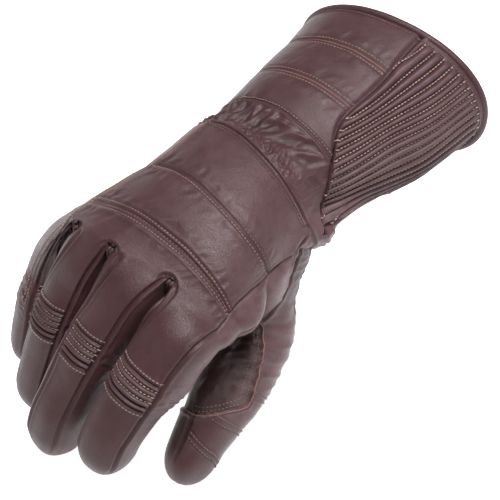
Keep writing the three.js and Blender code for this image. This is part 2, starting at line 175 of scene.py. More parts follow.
# ---- the glove's tube ----
def section_at(d):
    d = np.asarray(d, float)
    at = SECTIONS[:, 0]
    i = np.clip(np.searchsorted(at, d, side="right") - 1, 0, len(at) - 2)
    t = ((d - at[i]) / (at[i + 1] - at[i]))[..., None]
    p0, p1 = SECTIONS[np.maximum(i - 1, 0)], SECTIONS[i]
    p2, p3 = SECTIONS[i + 1], SECTIONS[np.minimum(i + 2, len(at) - 1)]
    v = 0.5 * (2 * p1 + (p2 - p0) * t + (2 * p0 - 5 * p1 + 4 * p2 - p3) * t ** 2
               + (3 * p1 - p0 - 3 * p2 + p3) * t ** 3)
    return [v[..., k] for k in range(1, 8)]


def round_section(angle, power):
    s, c = np.sin(angle), np.cos(angle)
    return np.sign(s) * np.abs(s) ** (2 / power), np.sign(c) * np.abs(c) ** (2 / power)


def arch_at(d):
    return ARCH * np.clip((d - ARCH_FROM) / (ARCH_TO - ARCH_FROM), 0, 1.1) ** 1.5


def tube(d, theta, inset=0.0):
    inside = np.clip(d, 0, ARCH_TO)
    middle, level, half, top, bottom, skew, lean = section_at(inside)
    across, up = round_section(np.radians(theta), SQUARENESS)
    x = (half - inset) * across
    z = (np.where(up > 0, top, bottom) - inset) * up
    z = z - arch_at(inside) * np.maximum(0, -x / half) ** 2
    return np.stack([middle + x, -d + skew * x + lean * z, level + z], -1)


def tube_gap(p):
    """Roughly how far points lie outside the tube (negative inside)."""
    d = np.clip(-p[..., 1], 0, ARCH_TO)
    for _ in range(4):
        middle, level, half, top, bottom, skew, lean = section_at(d)
        x = p[..., 0] - middle
        z = p[..., 2] - level + arch_at(d) * np.maximum(0, -x / half) ** 2
        d = np.clip(-p[..., 1] + skew * x + lean * z, 0, ARCH_TO)
    high = np.where(z > 0, top, bottom)
    ratio = (np.abs(x / half) ** SQUARENESS + np.abs(z / high) ** SQUARENESS) ** (1 / SQUARENESS)
    return np.hypot(x, z) * (1 - 1 / np.maximum(ratio, 0.05))


# ---- digits ----
class Digit:
    """A finger or thumb: a rounded tube along a bent centre line."""

    def __init__(self, name, root, length, bends, half, depth, roll, yaw=0, pitch=0, heel=None):
        self.name, self.length, self.heel = name, length, heel
        self.half, self.depth, self.roll = half, depth, math.radians(roll)
        tilt = 0 if name == "thumb" else math.radians(FINGER_TILT)
        yaw = math.radians(yaw)
        self.side = np.array([math.cos(yaw) * math.cos(tilt), math.sin(yaw) * math.cos(tilt), math.sin(tilt)])
        ahead = np.array([math.sin(yaw), -math.cos(yaw), 0.0])
        down = unit(np.cross(self.side, ahead))
        s = np.arange(length + 2.0)
        angle = np.radians(pitch + sum(turn * smooth((s - a) / (b - a)) for a, b, turn in bends))
        self.along = ahead * np.cos(angle)[:, None] + down * np.sin(angle)[:, None]
        self.place = np.array(root) + np.vstack([np.zeros(3), np.cumsum(self.along[:-1], 0)])

    def frame(self, s):
        i = np.clip(np.floor(s).astype(int), 0, len(self.place) - 2)
        t = np.where(s < 0, 0, s - i)[..., None]
        along = unit(lerp(self.along[i], self.along[i + 1], t))
        place = lerp(self.place[i], self.place[i + 1], t) + along * np.minimum(s, 0)[..., None]
        return place, along, -np.cross(self.side, along)

    def spot(self, s):
        return self.frame(np.array([float(s)]))[0][0]

    def skin(self, s, angle, fatten=0.0):
        s, angle = floats(s, angle)
        place, _, up = self.frame(s)
        share = np.clip(s / self.length, 0, 1)
        dome = self.half[1] * TIP_LENGTH
        close = np.clip((s - (self.length - dome)) / dome, 0, 1)
        narrow = np.sqrt(np.maximum(1 - close ** TIP_POWER, 0))
        if self.heel:
            back = np.clip((self.heel - s) / HEEL_LENGTH, 0, 1)
            narrow = narrow * np.sqrt(np.maximum(1 - back ** HEEL_POWER, 0))
        a, b = round_section(np.radians(angle), DIGIT_SQUARENESS)
        wide = (lerp(*self.half, share) + fatten) * narrow * a
        deep = (lerp(*self.depth, share) + fatten) * narrow * b
        c, r = math.cos(self.roll), math.sin(self.roll)
        return place + self.side * (wide * c + deep * r)[..., None] + up * (deep * c - wide * r)[..., None]

    def gap(self, p):
        """Roughly how far points lie outside the digit, and the nearest place along it."""
        best = np.full(p.shape[:-1], 1e9)
        s = np.zeros(p.shape[:-1])
        for k, place in enumerate(self.place):
            far = np.sum((p - place) ** 2, -1)
            near = far < best
            best, s = np.where(near, far, best), np.where(near, k, s)
        share = np.clip(s / self.length, 0, 1)
        return np.sqrt(best) - (lerp(*self.half, share) + lerp(*self.depth, share)) / 2, s


digits = {name: Digit(name, **values) for name, values in DIGITS.items()}


def finger_line(theta):
    """Distance from the cuff's mouth at which the fingers part from the hand."""
    across = np.degrees(np.arcsin(np.sin(np.radians(theta))))
    line = 168.5 + 6 * smooth((14 - across) / 20)
    return line - 2 * smooth((-12 - across) / 20) - 14 * smooth((-34 - across) / 24)


LINE_STEP, LINE_BLUR = 0.5, 9          # spacing of a line's samples, and how many are blurred each way


def line_through(knots, values):
    """A function through points, with its corners rounded off."""
    at = np.arange(knots[0] - 6.0, knots[-1] + 6.0, LINE_STEP)
    rough = np.interp(at, knots, values)
    window = np.hanning(2 * LINE_BLUR + 3)
    soft = np.convolve(np.pad(rough, LINE_BLUR, mode="edge"), window[1:-1] / window.sum(), "valid")
    return lambda x: np.interp(x, at, soft)


SEAM_LINES = {seam: line_through(SEAM_ANGLES, drift) for seam, drift in SEAM_DRIFT.items()}
back_ulnar = line_through((92, 100, 140, 156, 166), (-46, -47, -49, -49, -46))
back_radial = line_through((92, 97, 108, 120, 138, 150, 170), (82, 90, 94, 90, 80, 75, 76))
finger_seams = {name: [line_through(*line) for line in lines] for name, lines in BACK_SEAMS.items()}


def seam_line(seam, theta):
    """Distance from the cuff's mouth of a seam across the glove."""
    return seam + SEAM_LINES[seam](wrap(theta))


def palm_of(theta):
    return 180 - theta


def hand_angle(name, angle):
    """The angle round the hand that continues a finger's surface, and the finger's own angle, wrapped."""
    low, high = LANES[name]
    palm_low, palm_high = palm_of(low), palm_of(high)
    if name == "little":
        palm_low = 360 + PALM_ULNAR
    if name == "index":
        palm_high = PALM_RADIAL
    a = wrap(angle)
    outer = LITTLE_SEAM if name == "little" else (BACK_EDGE - 1, high - 0.3)
    knots = [-180, -PALM_EDGE, -BACK_EDGE, outer[0], BACK_EDGE, PALM_EDGE, 180]
    middle = (palm_low + palm_high) / 2
    values = [middle - 360, palm_low - 360, low, outer[1], high, palm_high, middle]
    return np.interp(a, knots, values), a


def bow(a):
    return RIB_BOW * np.minimum(np.abs(a) / BACK_EDGE, 1) ** 2


class FingerSkin:
    """A finger's surface, which grows smoothly out of the hand's."""
    REACH = {"index": 17, "middle": 17, "ring": 17, "little": 20}
    SLOT_SPEED = 0.38      # below 1, a slot between fingers opens round and wide rather than as a sharp V
    START = {"index": 168.3, "middle": 168.2, "ring": 168.0, "little": 161.0}

    def __init__(self, name):
        self.name, self.digit = name, digits[name]

    def start(self, angle):
        theta, a = hand_angle(self.name, np.asarray(angle, float))
        low, high = LANES[self.name]
        inner = self.inner(a)
        wall = np.where(a < 0, low, high)
        return np.where(inner, finger_line(wall), finger_line(theta)) - self.START[self.name]

    def inner(self, a):
        """Whether an angle is on a strip that faces another finger."""
        strip = (np.abs(a) > BACK_EDGE) & (np.abs(a) < PALM_EDGE)
        if self.name == "index":
            strip &= a < 0
        if self.name == "little":
            strip &= a > 0
        return strip

    def base(self, s, angle):
        s, angle = floats(s, angle)
        theta, a = hand_angle(self.name, angle)
        d = self.START[self.name] + s
        low, high = LANES[self.name]
        inner = self.inner(a)
        border = np.where(a < 0, low, high)
        share = np.clip((np.abs(a) - BACK_EDGE) / (PALM_EDGE - BACK_EDGE), 0, 1)[..., None]
        wall = lerp(tube(d, border), tube(d, palm_of(border)), share)
        hand = np.where(inner[..., None], wall, tube(d, theta))
        speed = lerp(1, self.SLOT_SPEED, self.beside_slot(a))
        grown = smooth((s - self.start(angle)) / self.REACH[self.name]) ** speed
        return lerp(hand, self.digit.skin(s, angle, FULLNESS), grown[..., None])

    def beside_slot(self, a):
        """0 along the middle of the back and of the palm, 1 on the strips that face another finger."""
        off_middle = np.where(np.abs(a) < 90, np.abs(a), 180 - np.abs(a))
        near = smooth((off_middle - 22) / (BACK_EDGE - 22))
        outer = {"index": a > 0, "little": a < 0}.get(self.name, False)
        return np.where(outer, 0, near)

    def rib_line(self, end, angle):
        """Where the ribbed panel starts (0) or ends (1): a line that bows round the finger."""
        return RIB_ZONE[self.name][end] - bow(wrap(np.asarray(angle, float)))


# ---- relief: how leather, seams, ribs and folds stand off the smooth surfaces ----
# Millimetres per degree round the hand, a finger, the thumb and the thumb's thicker root.
HAND_ROUND, FINGER_ROUND, THUMB_ROUND, THUMB_ROOT_ROUND = 0.72, 0.25, 0.28, 0.33
STITCH_OUT = 2.0           # from a seam to the stitch row beside it
FINGER_RIBS = 5


def profile(*bumps):
    """A seam's cross-section as bumps: height, distance from the seam, width, and whether on both sides."""
    def height(x):
        return sum(high * bump((np.abs(x) if both else x) - at, wide) for high, at, wide, both in bumps)
    return height


# Across a double-stitched seam: a turned edge in a groove, with a dip under each row.
seam_relief = profile((-0.55, 0, 0.4, False), (0.35, 1.0, 0.5, True), (-0.5, STITCH_OUT, 0.5, True))
# Across a lapped seam: one edge lies on the other, with its stitches just behind it.
fold_relief = profile((0.5, -0.9, 0.9, False), (-0.8, 0.5, 0.6, False))
# Across a folded seam: a raised fold beside a deep groove, and a soft valley under each stitch row.
ridge_relief = profile((0.55, -0.9, 0.55, False), (-1.1, 0.1, 0.45, False), (0.4, 0.9, 0.6, False),
                       (-0.45, STITCH_OUT, 0.5, True), (0.35, 3.4, 0.9, True))
# Across a closed seam along a finger: a sharp groove between two rolled edges.
edge_relief = profile((-1.3, 0, 0.8, False), (0.45, 2.0, 1.0, True))


def lap_relief(x):
    """Across a raw lapped edge: the back panel stands above the side strip."""
    return 0.7 * smooth(x / 0.8 + 0.5) * smooth((9 - x) / 8) - 0.6 * bump(x + 0.7, 0.6)


def puff(d, theta, seams, height):
    """Each panel between two seams is a little fuller in its middle."""
    out = np.zeros(np.shape(d))
    lines = [seam_line(seam, theta) if seam in SEAM_LINES else seam for seam in seams]
    for a, b in zip(lines, lines[1:]):
        t = np.clip((d - a) / (b - a), 0, 1)
        out += height * (1 - (2 * t - 1) ** 4) * ((d >= a) & (d < b))
    return out


STRETCH_POINT = 86         # where the ribbed panel's two edges meet
STRETCH_LINE = line_through((0, 14, 26, 42, 50, 57, 63, 68, 74, 78, 81, 84, 87, 98),
                            (11, 12.3, 15.5, 18.5, 20, 22.5, 29, 39, 52, 64, 74, 86, 93, 96))


def stretch_palm(d):
    return 119 - 27 * smooth((d - 30) / 68)


def stretch_back(d):
    return np.minimum(STRETCH_LINE(d), stretch_palm(d) - 0.05)


RIBS = 18
RIB_ANGLE = (stretch_palm(0) - stretch_back(0)) / RIBS


def set_off(d, theta):
    """The wrist's loose fold below the ribbed panel, and the flatter underside of the cuff's mouth."""
    theta = np.mod(theta, 360)
    fold = 9.5 * bump(d - 86, 16) * smooth((theta - 78) / 24) * smooth((175 - theta) / 30)
    return fold - 2.3 * bump(d - 8, 20) * smooth((theta - 88) / 18) * smooth((160 - theta) / 20)


def rib_wander(d, theta):
    """How far the ribs stray sideways, in ribs."""
    return 0.22 * np.sin(d / 15 + theta / 11) + 0.14 * np.sin(d / 7.3 - theta / 13)


def rib_phase(d, theta):
    return (theta - stretch_back(0)) / RIB_ANGLE + rib_wander(d, theta)


SLOTS = [high for name, (low, high) in LANES.items() if name != "index"]
SLOT_ROUND = 3.2           # radius of the seam that turns round the end of each slot


def slot_relief(d, theta):
    """Round the end of each slot between fingers: a sunk, rounded mouth with a seam about it."""
    out, calm = 0.0, 1.0
    for border in SLOTS:
        ahead = float(finger_line(border)) - d
        r = np.hypot((theta - border) * HAND_ROUND, np.maximum(ahead + 2.4, 0))
        near = smooth((ahead + 16) / 6)
        calm = np.minimum(calm, 1 - near * smooth((SLOT_ROUND + 1.5 - r) / 2.5))
        out += near * (0.22 * bump(r - SLOT_ROUND - 1.1, 0.9) - 1.1 * bump(r - SLOT_ROUND, 0.45)
                       - smooth((SLOT_ROUND - r) / 2.2))
    return out, calm


def web_relief(d, theta):
    """The fold of leather that runs from the thumb to the first finger along the hand's edge."""
    reach = smooth((d - 120) / 26) * smooth((196 - d) / 34)
    high = 8.5 - 4 * smooth((d - 148) / 14)
    return high * reach * smooth((theta - 76) / 20) * smooth((142 - theta) / 32)


def hand_relief(d, theta, p):
    """All of the main tube's relief but for the ribbed panel."""
    theta = wrap(theta)
    out = puff(d, theta, [SEAM_RIM, SEAM_A, SEAM_B, SEAM_C], 0.7)
    out += puff(d, theta, [SEAM_D, SEAM_E, SEAM_F, 182], 0.8)
    ulnar, radial = back_ulnar(d), back_radial(d)
    back = (theta > CUFF_ULNAR) & (theta < 80)
    on_back = smooth((theta - ulnar + 3) / 3) * smooth((radial + 1 - theta) / 2)
    for seam in (SEAM_A, SEAM_B):
        out += np.where(back | (theta > 118), seam_relief(d - seam_line(seam, theta)), 0)
    out += np.where(back | (theta > 118), fold_relief(seam_line(SEAM_C, theta) - d), 0)
    out += fold_relief(d - seam_line(SEAM_D, theta)) * np.where(d > 80, 1.3, 0)
    for seam, spread in ((SEAM_E, 0.72), (SEAM_F, 1)):
        out += on_back * ridge_relief((d - seam_line(seam, theta)) / spread)
    puckers = 0.55 * (creases(theta * HAND_ROUND + 0.25 * d, d, 47, 5.5, 2.2) - 0.45)
    puckers = puckers * smooth((theta - ulnar) / 8) * smooth((radial - theta) / 8)
    for seam in (SEAM_A, SEAM_B, SEAM_E, SEAM_F):
        out += puckers * bump(np.abs(d - seam_line(seam, theta)) - 5.5, 3.5)
    on_hand = smooth((d - seam_line(SEAM_D, theta) + 1) / 2)
    out += on_hand * lap_relief((theta - ulnar) * HAND_ROUND)
    out += on_hand * edge_relief((theta - radial) * HAND_ROUND)
    for seam in (PALM_ULNAR, PALM_RADIAL):
        out += on_hand * edge_relief((theta - seam) * HAND_ROUND) * 0.6
    on_cuff = 1 - on_hand
    out += on_cuff * edge_relief((theta - CUFF_ULNAR) * HAND_ROUND) * 0.7
    out += 0.8 * ripple(p, (30, 24, 30), 3) + 0.18 * ripple(p, (9, 8, 9), 5)
    out += gather_relief(d, theta) + set_off(d, theta)
    slots, calm = slot_relief(d, theta)
    return out * calm + slots + web_relief(d, theta)


def gather_relief(d, theta):
    """The folds that the wrist's elastic draws in: long and deep towards the little finger's side."""
    low, high = seam_line(SEAM_C, theta), seam_line(SEAM_D, theta)
    gather = smooth((d - low - 0.5) / 4) * smooth((high - 0.5 - d) / 3)
    near = smooth((d - low + 9) / 9) * smooth((high + 12 - d) / 12)
    arc = theta * HAND_ROUND
    pull = 0.25 + 0.75 * smooth((8 - theta) / 40)
    t = np.clip((d - low) / (high - low), 0, 1)
    long = creases(arc + 3 * noise(d / 13, arc / 13, 1.7, 2), d + 0.5 * arc, 11, 6.2, 3.0)
    fine = creases(arc + 2 * noise(d / 5, arc / 5, 0.7, 4), d, 13, 3.2, 1.8)
    soft = creases(arc * 0.8 + d * 0.9, d - arc * 0.4, 19, 11, 1.5)
    crinkled = smooth((t - 0.5) / 0.3) * smooth((60 - theta) / 40)
    out = gather * pull * (2.4 * long - 1.0) * smooth((1.05 - t) / 0.4)
    out += gather * crinkled * (1.5 * fine - 0.7)
    out += gather * (1 - pull) * (1.8 * soft - 0.7) - 1.8 * bump(d - (low + high) / 2, 7)
    return out + (near - gather) * 0.45 * creases(arc, d, 23, 8, 3) * pull


def rib_profile(phase, power):
    """0 along the narrow floor of each groove, 1 on top of the ribs."""
    return np.clip((np.abs(np.sin(np.pi * phase)) - 0.26) / 0.74, 0, 1) ** power


def rib_relief(d, theta, p):
    phase = rib_phase(d, theta)
    ridge = rib_profile(phase, 0.6)
    fade = smooth((d - SEAM_RIM - 1.5) / 4)
    across = (theta - stretch_back(d)) * HAND_ROUND
    far = (stretch_palm(d) - theta) * HAND_ROUND
    edge = -1.3 * bump(across, 0.8) - 1.3 * bump(far, 0.8) + 0.7 * bump(across - 2.2, 1.1)
    inside = smooth((across - 1.2) / 2) * smooth((far - 1.2) / 2)
    out = 0.3 + (2.5 * ridge - 1.5) * fade * inside + edge + 0.5 * ripple(p, (22, 16, 22), 3)
    return out - 1.6 * bump(d - WRIST_AT, 6.5) + set_off(d, theta)


def finger_relief(name, s, angle, p):
    skin = finger_skins[name]
    theta, a = hand_angle(name, angle)
    low, high = RIB_ZONE[name]
    middle = (low + high) / 2
    grown = smooth((s - skin.start(angle)) / 6)
    tip = smooth((skin.digit.length - 6 - s) / 8)
    out = np.zeros(p.shape[:-1])
    seam_low, seam_high = (line(s) for line in finger_seams[name])
    for edge, deep in ((seam_low, 1), (seam_high, 1), (-PALM_EDGE, 0.6), (PALM_EDGE, 0.6)):
        out += deep * tip * edge_relief((a - edge) * FINGER_ROUND)
    back = smooth((seam_high - 3 - a) / 5) * smooth((a - seam_low - 3) / 5)
    along = s - low + bow(a)
    t = along / (high - low)
    inside = smooth(t * 12) * smooth((1 - t) * 12)
    ribs = rib_profile(FINGER_RIBS * t, 0.7)
    out += back * inside * (1.7 * ribs - 0.8)
    out += back * (fold_relief(along) + fold_relief(high - low - along))
    if name == "index":
        out += web_relief(skin.START[name] + s, theta) + 3.5 * bump(s - 34, 14) * bump(a - 112, 38)
    under = smooth((np.abs(a) - 115) / 30)
    out -= 1.6 * bump(s - middle, 10) * under
    off = np.maximum(a - seam_high, seam_low - a)
    joint = bump(s - middle, 9) * smooth((off - 4) / 12)
    out += joint * 0.9 * (creases(s, a * FINGER_ROUND, 31, 3.6, 2.5) - 0.5)
    out += 0.6 * ripple(p, (15, 13, 13), 3)
    held = hand_relief(skin.START[name] + s, theta, p)
    held = np.where(skin.inner(a), -1.2, held)
    return lerp(held, out, grown)


FILLET = 15                # how far the thumb and the hand draw each other out where they meet


def fillet(gap):
    return FILLET / 4 * np.maximum(0, 1 - np.abs(gap) / FILLET) ** 2


THUMB_WEB, THUMB_BACK = -72, 62            # angles of the seams along the thumb
# How far the thumb's outer side stands off its plain tube along its length.
THUMB_SIDE = line_through((-18, 0, 12, 22, 32, 40, 47, 66, 80, 92, 104, 126),
                          (-4, -5, -7, -5.5, -0.3, 3, 5, 6, 5.5, 3, 0.2, 0))
# The angle of the seam where the thumb's root is set into the hand.
GUSSET = line_through((-18, 3, 18, 30, 39, 50), (-16, -12, -10, -24, -34, -40))
# The seams across the thumb: distance along it, slant, and the angles between which they are stitched.
THUMB_SEAMS = ((72, -0.02, 10, 58), (89.5, 0.045, -30, 58), (106, 0.085, -64, 50))
# The reinforcement in the crotch of the thumb: its near and far edges along the thumb at angles round it.
WEB_FROM = line_through((-90, -72, -50, -34, -26, -20, -9, -2, 4, 8, 12),
                        (60, 57, 45, 39, 39.5, 43, 50, 57, 66, 71, 76.5))
WEB_TO = line_through((-90, -72, -60, -46, -32, -14, 0, 8, 12),
                      (91, 91, 90.5, 89.5, 88, 85.5, 82, 79.5, 77.5))
WEB_SIDE = 12


def inside_web(s, a):
    """How far inside the crotch's reinforcement, in millimetres."""
    return np.minimum(np.minimum(s - WEB_FROM(a), WEB_TO(a) - s) * 0.8, (WEB_SIDE - a) * THUMB_ROUND)


def thumb_relief(s, angle, p):
    a = wrap(angle)
    gap = tube_gap(p)
    free = smooth(gap / 5)
    tip = smooth((digits["thumb"].length - 8 - s) / 10)
    out = fillet(gap) + THUMB_SIDE(s) * smooth(1 - np.abs(a - 48) / 92)
    web = inside_web(s, a)
    for edge in (THUMB_WEB, THUMB_BACK):
        start = smooth((s - 88) / 4) if edge == THUMB_WEB else 1
        out += free * tip * start * edge_relief((a - edge) * THUMB_ROUND)
    out += free * smooth((39 - s) / 3) * edge_relief((a - GUSSET(s)) * THUMB_ROOT_ROUND)
    for at, slope, _, _ in THUMB_SEAMS:
        row = s - at - slope * a
        out += 0.8 * free * smooth((70 - np.abs(a)) / 6) * (1 - smooth(web / 2)) * seam_relief(row)
    folds = creases(s + a * 0.12, a * 0.3, 41, 8, 3)
    out += free * 1.1 * (folds - 0.4) * smooth((95 - s) / 40)
    out -= 1.1 * smooth(web / 0.9 + 0.5) - 0.5 * bump(web + 1.0, 0.8) * free
    out -= 1.5 * bump(s - 106, 16) * bump(a + 85, 40)
    out -= 3.0 * bump(s - 51, 9) * bump(a + 52, 22) - 12.5 * bump(s - 22, 12) * bump(a + 50, 28)
    return out + 0.9 * ripple(p, (18, 18, 18), 6)


class Surface:
    """A smooth surface with relief. p and q are its two coordinates."""

    def __init__(self, base, relief, step_p=0.4, step_q=0.8):
        self.base, self.relief, self.step = base, relief, (step_p, step_q)

    def upright(self, f, p, q):
        a, b = self.step
        along = f(p + a, q) - f(p - a, q)
        round_ = f(p, q + b) - f(p, q - b)
        return unit(np.cross(along, round_))

    def point(self, p, q):
        p, q = floats(p, q)
        at = self.base(p, q)
        return at + self.upright(self.base, p, q) * self.relief(p, q, at)[..., None]

    def normal(self, p, q):
        p, q = floats(p, q)
        return self.upright(self.point, p, q)


def glove_relief(d, theta, p):
    theta = wrap(theta)
    low, high = (theta - stretch_back(d)) * HAND_ROUND, (stretch_palm(d) - theta) * HAND_ROUND
    ribbed = (low > 0) & (high > 0) & (d < STRETCH_POINT)
    out = np.where(ribbed, rib_relief(d, theta, p), hand_relief(d, theta, p) + thumb_fillet(d, theta, p))
    border = np.maximum(bump(low, 0.9), bump(high, 0.9)) * (d < STRETCH_POINT)
    return lerp(out, -1.1, border)


def thumb_fillet(d, theta, p):
    round_ = np.mod(theta, 360)
    near = (round_ > 60) & (round_ < 215) & (d > 80) & (d < 185)
    out = np.zeros(np.shape(p)[:-1])
    if near.any():
        gap, s = digits["thumb"].gap(p[near])
        out[near] = fillet(gap) * smooth((s + 8) / 10) * smooth((70 - s) / 30)
    return out


finger_skins = {name: FingerSkin(name) for name in FINGERS}
hand = Surface(tube, glove_relief)
fingers = {
    name: Surface(skin.base, lambda s, a, p, n=name: finger_relief(n, s, a, p))
    for name, skin in finger_skins.items()}
thumb = Surface(digits["thumb"].skin, thumb_relief)


# ---- making pieces ----
def material(name):
    return bpy.data.materials.get(name) or bpy.data.materials.new(name)


def store(mesh, name, kind, values):
    key = "vector" if kind == "FLOAT_VECTOR" else "value"
    mesh.attributes.new(name, kind, "POINT").data.foreach_set(key, np.asarray(values, np.float32).ravel())


def make(name, points, faces, look, normals=None, relief=None):
    """A mesh piece from points in millimetres, with its rest positions kept for its material."""
    points = np.asarray(points, float) * MM
    mesh = bpy.data.meshes.new(name)
    mesh.from_pydata(points.tolist(), [], faces)
    mesh.validate()
    mesh.polygons.foreach_set("use_smooth", [True] * len(mesh.polygons))
    store(mesh, "rest", "FLOAT_VECTOR", points)
    store(mesh, "relief", "FLOAT", np.zeros(len(points)) if relief is None else relief)
    if normals is not None:
        mesh.normals_split_custom_set_from_vertices(normals.tolist())
    obj = bpy.data.objects.new(name, mesh)
    mesh.materials.append(material(look))
    bpy.context.scene.collection.objects.link(obj)
    return obj


def spots(digit, distances):
    """Points on a digit's centre line, in metres."""
    return [tuple(digits[digit].spot(s) * MM) for s in distances]


WRIST_MIDDLE = np.array([-8, -WRIST_AT, 1.0])
WRIST_ALONG = np.array([-0.08, -1, 0])
WRIST_REACH = 8.5          # how far the wrist's bend runs each way
KNUCKLE_BEND, THUMB_ROOT_BEND = (0.8, 18), (14, 34)        # distances along a finger, and along the thumb
# The bending zones: the two bodies that each lies between, and the points where it starts and ends.
BENDS = {"wrist": ("cuff", "hand", tuple((WRIST_MIDDLE - WRIST_REACH * WRIST_ALONG) * MM),
                   tuple((WRIST_MIDDLE + WRIST_REACH * WRIST_ALONG) * MM)),
         "thumb_root": ("hand", "thumb_base", *spots("thumb", THUMB_ROOT_BEND)),
         "thumb_tip": ("thumb_base", "thumb_end", *spots("thumb", THUMB_ZONE[1:]))}
for finger in FINGERS:
    BENDS[finger + "_root"] = ("hand", finger + "_base", *spots(finger, KNUCKLE_BEND))
    BENDS[finger + "_middle"] = (finger + "_base", finger + "_end", *spots(finger, RIB_ZONE[finger]))


def finish(obj, host, nodes=()):
    """Attach a piece to the body it moves with, or fix it where it lies in a bending zone, and hide the plain
    solids it stands for.
    """
    if host in BENDS:
        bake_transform(obj)
    else:
        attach(obj, host)
    if nodes:
        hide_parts(*nodes)
    return obj


def value_of(edge, at):
    return edge(at) if callable(edge) else np.full(np.shape(at), float(edge))


def grid(rows, columns, wraps, pole):
    """Quads between rows of numbered points; a pole makes the last row one point."""
    number = np.arange(rows * columns).reshape(rows, columns)
    if pole:
        number[-1] = number[-1, 0]
    right = np.roll(number, -1, 1) if wraps else number[:, 1:]
    left = number if wraps else number[:, :-1]
    return np.stack([left[:-1], left[1:], right[1:], right[:-1]], -1).reshape(-1, 4), number


def tidy_faces(quads):
    """The quads without repeated corners, so that those at a pole become triangles."""
    return [list(dict.fromkeys(q)) for q in quads.tolist()]


def shell(name, surface, p_edges, q_edges, look, size=1.0, thick=HIDE, wraps=False, pole=False):
    """A closed leather panel on part of a surface. Edges are numbers or functions: p's of the share across,
    q's of p."""
    def at(u, v):
        p = lerp(value_of(p_edges[0], v), value_of(p_edges[1], v), u)
        return p, lerp(value_of(q_edges[0], p), value_of(q_edges[1], p), v)

    coarse = surface.base(*at(*np.meshgrid(np.linspace(0, 1, 9), np.linspace(0, 1, 9), indexing="ij")))
    long = np.linalg.norm(np.diff(coarse, axis=0), axis=-1).sum(0).max()
    wide = np.linalg.norm(np.diff(coarse, axis=1), axis=-1).sum(1).max()
    rows, columns = max(4, math.ceil(long / size)), max(4, math.ceil(wide / size))
    us = np.arange(-1, rows + 2) / rows
    vs = np.arange(-1, columns + (1 if wraps else 2)) / columns
    u, v = np.meshgrid(us, vs, indexing="ij")
    if pole:
        u = np.minimum(u, 1)
    p, q = at(u, np.clip(v, 0, 1) if not wraps else v)
    if not wraps:                     # carry on past both sides, so that shading meets the neighbour's
        q[:, 0], q[:, -1] = 2 * q[:, 1] - q[:, 2], 2 * q[:, -2] - q[:, -3]
    base = surface.base(p, q)
    raised = surface.relief(p, q, base)
    points = base + surface.upright(surface.base, p, q) * raised[..., None]
    normal = unit(np.cross(points[2:, 1:-1] - points[:-2, 1:-1], points[1:-1, 2:] - points[1:-1, :-2]))
    points, raised = points[1:-1, 1:-1], raised[1:-1, 1:-1]
    if pole:
        normal[-1] = unit(points[-1].mean(0) - points[-3].mean(0))
        points[-1] = points[-1].mean(0)
    n, m = points.shape[:2]
    outer, number = grid(n, m, wraps, pole)
    inside = outer[:, ::-1] + n * m
    rim = [number[0]] if pole else [number[0], number[-1][::-1]]
    if not wraps:
        rim = [np.concatenate([number[0], number[1:, -1], number[-1][::-1][1:], number[1:-1, 0][::-1]])]
    sides = []
    for line in rim:
        after = np.roll(line, -1)
        sides.append(np.stack([line, after, after + n * m, line + n * m], -1))
    faces = tidy_faces(np.vstack([outer, inside, *sides]))
    both = np.concatenate([points.reshape(-1, 3), (points - normal * thick).reshape(-1, 3)])
    shade = np.concatenate([normal.reshape(-1, 3), -normal.reshape(-1, 3)])
    # the inner face is given a relief of -1, so the leather's painted groove shade darkens it too
    depth = np.concatenate([raised.ravel(), np.full(n * m, -1.0)])
    if pole:                          # drop the unused copies of the pole
        keep = np.ones(len(both), bool)
        for end in (n * m, 2 * n * m):
            keep[end - m + 1:end] = False
        renumber = np.cumsum(keep) - 1
        faces = [[int(renumber[k]) for k in f] for f in faces]
        both, shade, depth = both[keep], shade[keep], depth[keep]
    return make(name, both, [f for f in faces if len(f) > 2], look, shade, depth)


def read_along(run, values, at):
    """Vectors read off at distances along a line."""
    return np.stack([np.interp(at, run, values[:, k]) for k in range(3)], -1)


def path_on(surface, p, q, step=0.4):
    """Points and normals along a line on a surface, resampled evenly by length."""
    p, q = floats(p, q)
    points, normals = surface.point(p, q), surface.normal(p, q)
    run = np.concatenate([[0], np.cumsum(np.linalg.norm(np.diff(points, axis=0), axis=1))])
    even = np.linspace(0, run[-1], max(3, int(run[-1] / step) + 1))
    return even, read_along(run, points, even), unit(read_along(run, normals, even))


def rod_faces(number, closed=False):
    """Quads round a rod whose rings of points have these numbers, and its two ends unless it is closed."""
    right = np.roll(number, -1, 1)
    faces = np.stack([number[:-1], number[1:], right[1:], right[:-1]], -1).reshape(-1, 4).tolist()
    return faces if closed else faces + [number[0].tolist(), number[-1][::-1].tolist()]


THREAD = 0.27              # a stitch's radius
STITCH_PITCH, STITCH_LENGTH, STITCH_SIDES = 1.9, 1.4, 6
# The rings of points along a stitch: where as shares of its length, how high, and how thick.
STITCH_RINGS = np.array([(-0.5, -0.2, 0.35), (-0.38, 0.05, 0.85), (-0.15, 0.2, 1),
                         (0.15, 0.2, 1), (0.38, 0.05, 0.85), (0.5, -0.2, 0.35)])


